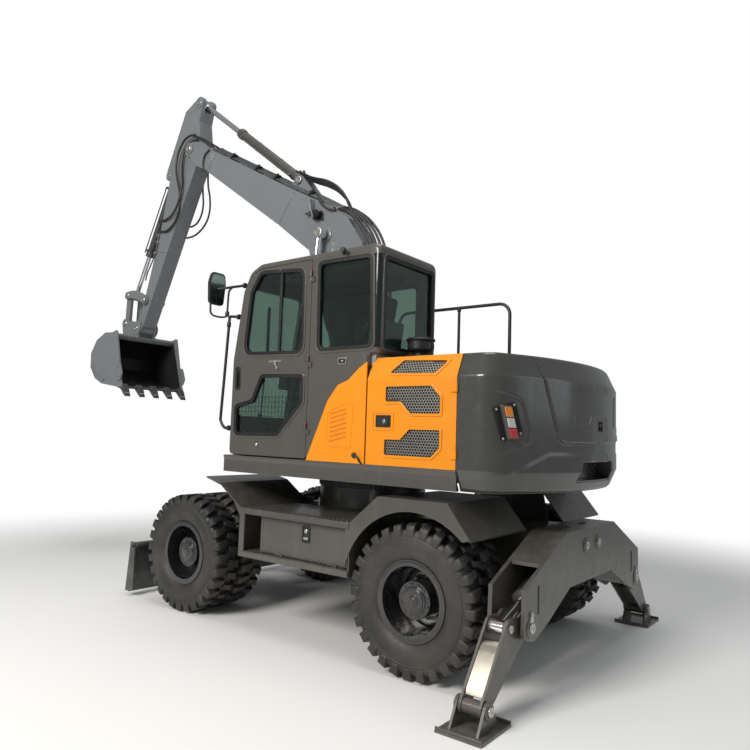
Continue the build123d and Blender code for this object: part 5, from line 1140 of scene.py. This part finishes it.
def strip(piece, width, y0, y1, *line):
    """Flat edge along (x, z) points, on their right if the width is positive."""
    for a, b in zip(line, line[1:]):
        run = Vector((b[0] - a[0], b[1] - a[1])).normalized()
        dx, dz = run.y * width, -run.x * width
        piece.prism([a, b, (b[0] + dx, b[1] + dz), (a[0] + dx, a[1] + dz)], "y", y0, y1)


# pin heads with their keeper plates, as (centre, y of the face, radius)
for body, covers in (
    ("boom", ((ARM_PIVOT, 158, 46), (BOOM_CYL_EYE, 264, 44), (ARM_CYL_BASE, 90, 38))),
    ("arm", ((ARM_CYL_EYE, 101, 44), (BUCKET_CYL_BASE, 101, 38), (ROCKER_PIVOT, 152, 34))),
    ("bucket", ((ARM_TIP, 135, 38), (LINK_FOOT, 135, 32))),
    ("rocker", ((LINK_TOP, 137, 32),)),
):
    pins = Piece(f"{body}_pins", body, STEEL)
    for centre, y, r in covers:
        both_sides(pins, [(r, -3), (r, 10), (r * 0.92, 13), (r * 0.5, 13), (r * 0.45, 9), (0.5, 9)], centre, y, 36)
        both_sides(pins, [(r * 1.3, -3), (r * 1.3, 2), (r * 1.24, 3.5), (r, 3.5)], centre, y, 36)
    if body == "boom":
        for side, _ in SIDES:
            pins.bolt((2955, side * 141, 5226), (0, side, 0), 8, 6)
    pins.done()

bosses = Piece("boom_bosses", "boom", LIT_BOOM, bevel=2)
plates = Piece("arm_plates", "arm", LIT_BOOM, bevel=2)
for centre, r, y in ((ARM_PIVOT, 74, 140), (BOOM_CYL_EYE, 88, 138), ((100, 1800), 84, 140)):
    both_sides(bosses, [(r, -4), (r, 12), (r * 0.86, 16), (r * 0.6, 16)], centre, y, 40)
for centre, r in ((ARM_CYL_EYE, 72), (BUCKET_CYL_BASE, 56), (ARM_PIVOT, 100), (ROCKER_PIVOT, 48)):
    both_sides(plates, [(r, -4), (r, 8), (r * 0.88, 12), (r * 0.5, 12)], centre, 100, 40)
for side, _ in SIDES:
    # welds across the side plates, and the flange edges along the boom's foot and back
    y = side * 140.5
    for a, b in (((2512, 5046), (2612, 4834)), ((2482, 5026), (2582, 4816)), ((1096, 4250), (1310, 3938))):
        seam(bosses, y, a, b)
    strip(bosses, 12, y, side * 118, (536, 2708), (830, 3578), (1307, 3933), (2616, 4830))
    strip(bosses, -10, y, side * 120, (528, 3973), (1094, 4263), (2514, 5044))
    y = side * 100.5
    seam(plates, y, (3180, 5742), (3040, 5690), (2990, 5600), (2940, 5470), (2895, 5350))
    seam(plates, y, (3260, 4236), (3572, 4226))
    seam(plates, y, (3400, 3930), (3660, 3960))
bosses.done()
plates.done()

# five pipes along the boom's back, as (y, height over the back)
RACK = [(124, 16), (100, 28), (76, 40), (52, 50), (28, 58)]


def on_rack(x, z, y, rise):
    """Point off the boom's back, square to its slope."""
    return (x - rise * 0.46, y, z + rise * 0.88)


pipes = Piece("boom_pipes", "boom", metal("pipe_steel", (0.26, 0.27, 0.28), 0.30), "chrome", angle=60)
fit = Piece("boom_fittings", "boom", STEEL, bevel=0.8)
hoses = Piece("boom_hoses", "boom", HOSE, angle=60)
BACK_RUN = Vector((330, 0, 185)).normalized()
for row in RACK:
    back = ((470, 3940), (800, 4125), (1094, 4276), (1700, 4610), (2300, 4940), (2520, 5062))
    pipes.tube([on_rack(x, z, *row) for x, z in back], 9, 10, 4)
    fit.turned([(15, -4), (15, 26), (12, 30)], on_rack(470, 3940, *row), BACK_RUN, 6)
    fit.turned([(15, 0), (15, 26), (12, 30)], on_rack(2500, 5052, *row), BACK_RUN, 6)
pipes.done()
racks = Piece("boom_pipe_clamps", "boom", PLASTIC, bevel=1.5)
for x, z in ((2200, 4885), (1760, 4643), (1440, 4467), (900, 4169)):
    racks.at = placed((x, 78, z), (-0.482, 0, 0.876), (0.876, 0, 0.482))
    racks.prism(rect(-62, 62, -24, 24), "z", -3, 46, [(-62, -24), (62, -24), (62, 24), (10, 24)])
    racks.prism(rect(-40, 62, -18, 18), "z", 40, 74, [(-36, -16), (20, -16), (20, 16), (-36, 16)])
    racks.bolt((-20, 0, 74), UP, 9, 10)
racks.done()

# pair looping over the joint at the left
for k, y in enumerate((168, 148)):
    hoses.tube([(2500 - 20 * k, 126 - 30 * k, 5078 + 20 * k), (2640, y - 10, 5190 + 12 * k),
                (2790, y, 5278 + 10 * k), (2900, y + 4, 5330 + 6 * k)], 13, 12)
# thick bundle over the boom's back, down to the valve behind the cab
for k, (y, rise) in enumerate(RACK):
    hoses.tube([on_rack(470, 3940, y, rise), (330 - 8 * k, y, 3880 + rise * 0.9),
                (190 - 22 * k, y - 4, 3740 + rise * 0.7), (70 - 30 * k, y - 8, 3530 + rise * 0.3),
                (-10 - 30 * k, y - 12, 3200), (-60 - 24 * k, y - 14, 2800), (-90 - 20 * k, y - 16, 2380)], 14, 12)
# hoses to the arm cylinder, arching off the boom's back: x, offset in y, z, and z's step from hose to hose
ARCH = [(1010, 0, 4452, 14), (903, 4, 4392, 16), (800, 8, 4350, 20), (694, 12, 4312, 24), (600, 14, 4266, 26),
        (515, 14, 4210, 26), (440, 12, 4140, 26), (388, 10, 4070, 20), (330, 6, 3950, 16), (250, 0, 3800, 0)]
for k, y in enumerate((96, 70, 44)):
    hoses.tube([(1120 - 30 * k, y, 4500 + 6 * k)] + [(x, y + dy, z - step * k) for x, dy, z, step in ARCH], 13, 12)
hoses.tube([(2585, 150, 5081), (2664, 153, 5033), (2694, 152, 4942), (2686, 142, 4855)], 11, 12)
hoses.tube([(730, 150, 4140), (690, 172, 4080), (630, 190, 4010), (560, 186, 3960), (470, 160, 3935)], 12, 12)
hoses.done()
fit.done()

box = Piece("boom_box", "boom", LIT_BOOM, bevel=5, segments=3)
box.prism(rounded([(904, 4092), (790, 4106), (758, 3960), (872, 3942)], 10), "y", 138, 214,
          rounded([(900, 4088), (794, 4101), (763, 3965), (868, 3947)], 10))
box.done()
lamp = Piece("boom_lamp", "boom", PLASTIC, bevel=4, segments=3)
lamp.prism(rounded([(640, 3850), (790, 3900), (800, 3990), (660, 3960)], 14), "y", 138, 150)
lamp.at = placed((728, 196, 3926), (0.62, 0.62, -0.25))
lamp.prism(rect(-44, 44, -34, 34, 12), "z", -42, 28, rect(-56, 56, -44, 44, 14))
for x in (-50, 44):
    lamp.prism(rect(x, x + 6, -8, 8), "z", -74, 6)
lamp.done()
shine = Piece("boom_lamp_glass", "boom", CLEAR, "lamp_lens", bevel=2, at=lamp.at)
shine.prism(rect(-46, 46, -34, 34, 12), "z", 26, 31)
shine.done()

hoses = Piece("arm_hoses", "arm", HOSE, angle=60)
for radius, line in (
    (13, [(2880, 152, 5345), (2987, 150, 5362), (3090, 150, 5338), (3170, 150, 5268), (3228, 150, 5167),
          (3247, 150, 5044), (3234, 148, 4914), (3200, 140, 4779), (3168, 132, 4647), (3168, 126, 4498),
          (3190, 124, 4389), (3240, 124, 4298), (3330, 124, 4232), (3440, 122, 4202), (3558, 118, 4226)]),
    (13, [(2860, 136, 5280), (2971, 134, 5287), (3066, 134, 5241), (3125, 134, 5168), (3148, 134, 5047),
          (3142, 132, 4894), (3128, 130, 4789), (3134, 138, 4666), (3160, 142, 4560), (3222, 140, 4458),
          (3295, 134, 4400), (3400, 128, 4362), (3508, 122, 4356), (3600, 110, 4380)]),
    (12, [(3020, -136, 5060), (3035, -138, 4960), (3060, -140, 4830), (3050, -140, 4700), (3032, -140, 4560),
          (3061, -140, 4424), (3140, -138, 4330), (3225, -126, 4298), (3300, -108, 4300)]),
    (12, [(2980, -150, 5060), (2985, -154, 4934), (2970, -156, 4789), (2928, -156, 4652), (2912, -156, 4498),
          (2939, -154, 4364), (3027, -150, 4253), (3158, -140, 4178), (3290, -120, 4156), (3370, -106, 4170)]),
):
    hoses.tube(line, radius, 12)
hoses.done()
pipes = Piece("arm_pipes", "arm", metal("arm_pipe_steel", (0.16, 0.16, 0.165), 0.35), "chrome", angle=60)
grips = Piece("arm_clamps", "arm", STEEL, bevel=1)
for side, _ in SIDES:
    pipes.tube(at_y(side * 114, (3558, 4226), (3590, 4190), (3606, 4120), (3628, 4010), (3676, 3890), (3744, 3780),
                    (3800, 3700), (3830, 3600)), 9, 10)
    for x, z in ((3612, 4092), (3650, 3950), (3600, 4176)):
        grips.box(x - 22, x + 22, side * 100, side * 126, z - 14, z + 14)
        grips.bolt((x - 12, side * 126, z), (0, side, 0), 7, 6)
pipes.tube([(3600, 100, 4385), (3660, 84, 4380), (3700, 62, 4384)], 9, 10)
pipes.done()
grips.done()

# painted shade: a near-black sheet over the inside of the bucket, where it lies in shadow
shade_paint = paint("bucket_painted_shade", (0.010, 0.011, 0.013), 0.55, 0.0, 0.3, 0.10)
lining = Piece("bucket_shade_sheet", "bucket", shade_paint, "cast_iron")
hollow = [(3700, 2182), (4143, 2244), (4297, 2314), (4411, 2452), (4420, 2608), (4310, 2766), (4125, 2854),
          (3967, 2846), (3915, 2824)]
lining.prism(hollow + inset(hollow, 2)[::-1], "y", -438, 438)
for side, _ in SIDES:
    lining.prism(inset(hollow, 1), "y", side * 438 - 1, side * 438 + 1)
lining.done()

# ================================================================ cylinders: glands, ports and pipes
def cylinder_dress(name, body, base, eye, length, radius, port_side):
    """Gland nut, end bands, port blocks and the feed pipe of one barrel."""
    base = Vector(base)
    run = (Vector(eye) - base).normalized()
    side = Vector(port_side)
    side = (side - run * side.dot(run)).normalized()
    piece = Piece(f"{name}_gland", body, GREY, bevel=1)
    bore = radius * 0.62 + 1.0
    piece.turned([(radius - 1, -62), (radius + 7.2, -62), (radius + 9, -56), (radius + 9, -14), (radius + 4, -10),
                  (radius + 4, 1), (bore, 2), (bore, -12)], base + run * length, run, 40, caps=False)
    for a in (Matrix.Rotation(pi / 2 * k, 3, run) @ side for k in range(4)):
        piece.bolt(base + run * (length - 2) + a * (radius - 6), run, 6, 6)
    for share, high, rise, width in ((0.12, 5, 3, 27), (0.955, 5, 3, 27), (0.35, 2.5, 1, 16), (0.7, 2.5, 1, 16)):
        piece.turned([(radius - 1, 0), (radius + high, rise), (radius + high, width - rise), (radius - 1, width)],
                     base + run * length * share, run, 40, caps=False)
    for share in (0.14, 0.93):
        port = base + run * length * share
        piece.rod(port + side * (radius - 4), port + side * (radius + 26), 16, 16)
    piece.done()
    pipe = Piece(f"{name}_pipe", body, GREY, angle=60)
    far, near = base + run * length * 0.93, base + run * length * 0.14
    out = side * (radius + 26)
    pipe.tube([far + out * 0.9, far + out, far + out - run * 26, near + out + run * 60,
               near + out + run * 20 + side * 8], 8, 10)
    pipe.done()


cylinder_dress("arm_cylinder", "arm_barrel", (1100, 0, 4410), (2900, 0, 5795), 1360, 54, (0, 1, -0.5))
cylinder_dress("bucket_cylinder", "bucket_barrel", (3461, 0, 4955), (4211, 0, 3436), 1105, 46, (0.6, 1, 0))
for side, tag in SIDES:
    cylinder_dress(f"boom_cylinder_{tag}", "boom_barrels", (850, side * 225, 1420), (620, side * 225, 3700), 1260, 54,
                   (1, 0, 0))
for side, tag in SIDES:
    cylinder_dress(f"outrigger_cylinder_{tag}", f"outrigger_barrel_{tag}", (-1990, side * 124, 905),
                   (-1990, side * 1250, 515), 870, 52, (1, 0, 0))

# ================================================================ bucket
BUCKET_HALF_W = 460

# teeth with their pins, lip and the three wear strips round the back
worn = Piece("bucket_wear_parts", "bucket", IRON, bevel=3)
for y in ((k - 2) * (2 * BUCKET_HALF_W - 90) / 4 for k in range(5)):
    worn.prism([(3735, 2196), (3655, 2110), (3602, 2046), (3596, 2052), (3640, 2150), (3690, 2205)], "y",
               y - 40, y + 40)
    worn.rod((3672, y - 46, 2150), (3672, y + 46, 2150), 9, 10)
worn.box(3660, 3760, -462, 462, 2152, 2166)
for y in (-280, 0, 280):
    worn.prism([(4150, 2208), (4322, 2284), (4440, 2436), (4450, 2622), (4336, 2796), (4326, 2790), (4442, 2620),
                (4430, 2440), (4314, 2292), (4146, 2218)], "y", y - 30, y + 30)
sides = Piece("bucket_side_parts", "bucket", LIT_BOOM, "cast_iron", bevel=3)
for side, _ in SIDES:
    # side cutter with its bolts, and the strip along the lower corner
    y0, y1 = side * BUCKET_HALF_W, side * 478
    sides.prism(rounded([(3700, 2250), (3660, 2330), (3720, 2470), (3770, 2490), (3800, 2330), (3780, 2240)], 20),
                "y", y0, y1)
    for x, z in ((3730, 2300), (3752, 2370), (3752, 2430)):
        sides.bolt((x, y1, z), (0, side, 0), 13, 12)
    sides.prism([(4100, 2240), (4320, 2310), (4430, 2450), (4400, 2470), (4300, 2340), (4096, 2275)], "y",
                y0, side * 472)
    sides.tube(at_y(side * 452, (3862, 2880), (3900, 2860), (3960, 2868)), 14, 10)
sides.done()
worn.done()
lug = Piece("bucket_stiffeners", "bucket", LIT_BOOM, bevel=2)
for y in (108, 134):
    both_sides(lug, [(92, -4), (92, 4), (80, 9), (50, 9)], ARM_TIP, y, 36)
lug.done()

# ================================================================ undercarriage
treads = Piece("step_treads", "root", GREY, bevel=1)
for side, _ in SIDES:
    for z in (1012, 653):
        for x in range(-690, 480, 46):
            for y in (1150, 1086):
                treads.box(x, x + 26, side * y, side * (y + 44), z - 0.5, z + 3.5)
    # folded lip along the lower step and the upper edge
    for z in (605, 964):
        treads.prism([(side * y, z + dz) for y, dz in ((1200, 2), (1207, 6), (1207, 40), (1200, 46))], "x", -715, 500)
treads.done()

for side, tag in SIDES:
    body, face = f"toolbox_door_{tag}", side * 1144
    lid = Piece(f"toolbox_trim_{tag}", body, GREY, bevel=2)
    panel = rect(-650, 280, 672, 946)
    lid.ring(rounded(panel, 24), rounded(inset(panel, 12), 16), "y", face - side * 1, face + side * 3)
    lid.done()
    lock = Piece(f"toolbox_latch_{tag}", body, PLASTIC, bevel=2)
    plate = rect(-270, -190, 800, 930)
    lock.ring(rounded(inset(plate, -2), 10), rounded(inset(plate, 10), 6), "y", face, face + side * 9)
    lock.prism(rounded(inset(plate, 9), 6), "y", face - side, face + side * 3)
    lock.done()
    key = Piece(f"toolbox_key_{tag}", body, STEEL, bevel=0.6)
    key.turned([(17, 0), (17, 9), (13, 12), (0.5, 12)], (-230, face, 888), (0, side, 0), 24)
    key.prism(rect(-254, -206, 822, 842, 5), "y", face, face + side * 8)
    key.done()

bolts = Piece("slewing_ring_bolts", "root", STEEL)
for a in angles(36):
    bolts.bolt((474 * cos(a), 474 * sin(a), 1237), UP, 11, 10)
bolts.done()
ring = Piece("slewing_ring", "root", IRON, bevel=2)
ring.turned([(500, 1190), (508, 1194), (508, 1232), (498, 1238), (440, 1238), (440, 1190)], (0, 0, 0), UP, 96,
            caps=False)
for a in angles(90, 0.5):
    ring.rod((506 * cos(a), 506 * sin(a), 1196), (506 * cos(a), 506 * sin(a), 1230), 7, 6)
ring.done()

under = Piece("drive_line", "root", IRON, bevel=3)
for end in (1, -1):
    under.rod((end * 1110, 0, 560), (end * 420, 0, 620), 44, 24)
for x, z in ((1080, 562), (450, 617), (-1080, 562), (-450, 617)):
    under.rod((x - 40, 0, z), (x + 40, 0, z), 70, 24)
under.prism(rounded([(-420, 470), (420, 470), (380, 720), (-380, 720)], 60), "y", -170, 170)
under.done()
steer = Piece("steering_gear", "root", IRON, bevel=2)
steer.rod((1480, -300, 560), (1480, 300, 560), 42, 24)
for side in (-1, 1):
    steer.box(1400, 1500, side * 230, side * 330, 500, 600)
steer.done()

hoses = Piece("chassis_hoses", "root", HOSE, angle=60)
valve = Piece("chassis_valves", "root", STEEL, bevel=3)
for k in range(6):
    y = 260 - 44 * k
    hoses.tube([(620 + 12 * k, y, 1000), (650, y + 10, 1050 + 6 * k), (560, y + 30, 1075 + 5 * k),
                (430, y + 20, 1068), (380 + 10 * k, y, 1020), (370, y, 994)], 13, 10)
for x in (640, 710, 780, 850):
    valve.box(x, x + 56, 120, 300, 990, 1050)
    valve.turned([(17, 0), (17, 20), (13, 24), (0.5, 24)], (x + 28, 210, 1050), UP, 6)
hoses.done()
valve.done()

# ================================================================ outriggers and blade
BEAM_X, BEAM_REAR = -1990, -2120
beam = Piece("beam_trim", "root", GREY, bevel=3)
steel = Piece("beam_pins", "root", STEEL)
for side, _ in SIDES:
    for y, z, r in ((124, 905, 30), (1075, 497, 34)):
        at = (BEAM_REAR, side * y, z)
        beam.turned([(r * 1.9, -3), (r * 1.9, 4), (r * 1.7, 8), (r, 8)], at, (-1, 0, 0), 36)
        steel.turned([(r, -2), (r, 16), (r * 0.85, 20), (r * 0.4, 20), (r * 0.35, 14), (0.5, 14)], at, (-1, 0, 0), 32)
    keeper = [(side * y, z) for y, z in ((1050, 530), (1100, 530), (1092, 596), (1058, 596))]
    steel.prism(rounded(keeper, 12), "x", -2130, -2118)
    steel.bolt((-2130, side * 1075, 576), (-1, 0, 0), 11, 9)
    # welds on both faces, and the rim of the lifting hole
    for x in (-2122, -1858):
        beam.tube([(x, side * 960, 560), (x, side * 960, 740)], 5, 8)
    hole = [[(x, side * y) for x, y in ((x0, y0), (x0, y1), (x1, y1), (x1, y0))] for x0, x1, y0, y1 in
            ((-1960, -2010, 120, 200), (-1966, -2004, 128, 192))]
    beam.ring(rounded(hole[0], 20), rounded(hole[1], 16), "z", 1027, 1033)
beam.done()
steel.done()

EYE, FOOT = Vector((1250, 515)), Vector((1554, 125))        # leg's pivots as (distance from the middle, z)
leg_run = (FOOT - EYE).normalized()
leg_out = Vector((-leg_run.y, leg_run.x))
for side, tag in SIDES:
    body = f"outrigger_leg_{tag}"
    leg = Piece(f"leg_web_{tag}", body, metal(f"leg_steel_{tag}", (0.42, 0.39, 0.33), 0.30), "grey_paint", bevel=3)
    web = []
    for along, off in ((84, -6), (104, 26), (140, 42), (190, 47), (410, 47), (448, 36), (446, 28), (408, 40),
                       (192, 40), (144, 35), (110, 20), (92, -10)):
        point = EYE + leg_run * along + leg_out * off
        web.append((side * point.x, point.y))
    leg.prism(web, "x", BEAM_X - 60, BEAM_X + 60)
    leg.done()
    caps = Piece(f"leg_pins_{tag}", body, STEEL, bevel=1)
    collars = Piece(f"leg_collars_{tag}", body, IRON, bevel=2)
    pad = Piece(f"pad_trim_{tag}", f"outrigger_pad_{tag}", GREY, bevel=2)
    ends = Piece(f"pad_pins_{tag}", f"outrigger_pad_{tag}", STEEL)
    for y, lean in ((side * 1378, -side), (side * 1724, side)):
        pad.prism([(y - 4, 2), (y + 4, 2), (y + 4 + lean * 5, 34), (y - 4 + lean * 5, 34)], "x",
                  BEAM_X - 150, BEAM_X + 150)
    for sx in (1, -1):
        caps.turned([(26, -2), (26, 12), (22, 15), (8, 15), (7, 11), (0.5, 11)],
                    (BEAM_X + sx * 75, side * EYE.x, EYE.y), (sx, 0, 0), 32)
        pad.turned([(52, 0), (52, 6), (46, 10), (30, 10)], (BEAM_X + sx * 98, side * FOOT.x, FOOT.y), (sx, 0, 0), 36)
        ends.turned([(30, -4), (30, 8), (26, 12), (10, 12), (9, 8), (0.5, 8)],
                    (BEAM_X + sx * 108, side * FOOT.x, FOOT.y), (sx, 0, 0), 32)
    for x in (BEAM_X - 59, BEAM_X + 43):
        collars.rod((x, side * EYE.x, EYE.y), (x + 16, side * EYE.x, EYE.y), 46, 32)
    red = Piece(f"grease_caps_{tag}", body, RED)
    for point in (EYE + leg_out * 46, FOOT + leg_out * 44):
        red.turned([(7, -3), (7, 2), (4, 4), (0.5, 4)], (BEAM_X, side * point.x, point.y),
                   (0, side * leg_out.x, leg_out.y), 12)
    for piece in (collars, caps, red, pad, ends):
        piece.done()

edge = Piece("blade_edge", "blade", IRON, bevel=2)
edge.prism([(2092, 47), (2126, 47), (2118, 120), (2088, 170), (2078, 168), (2086, 120)], "y", -1198, 1198)
for k in range(16):
    edge.bolt((2104, -1125 + 150 * k, 110), (1, 0, 0.2), 12, 7)
for y in (320, 640, 960, -320, -640, -960):
    edge.prism([(2052, 180), (2068, 190), (2072, 420), (2010, 380), (2004, 240)], "y", y - 8, y + 8)
edge.rod((2040, -1184, 506), (2040, 1184, 506), 20, 20)
edge.done()

# ================================================================ colour view
bpy.context.scene.view_settings.view_transform = "Standard"
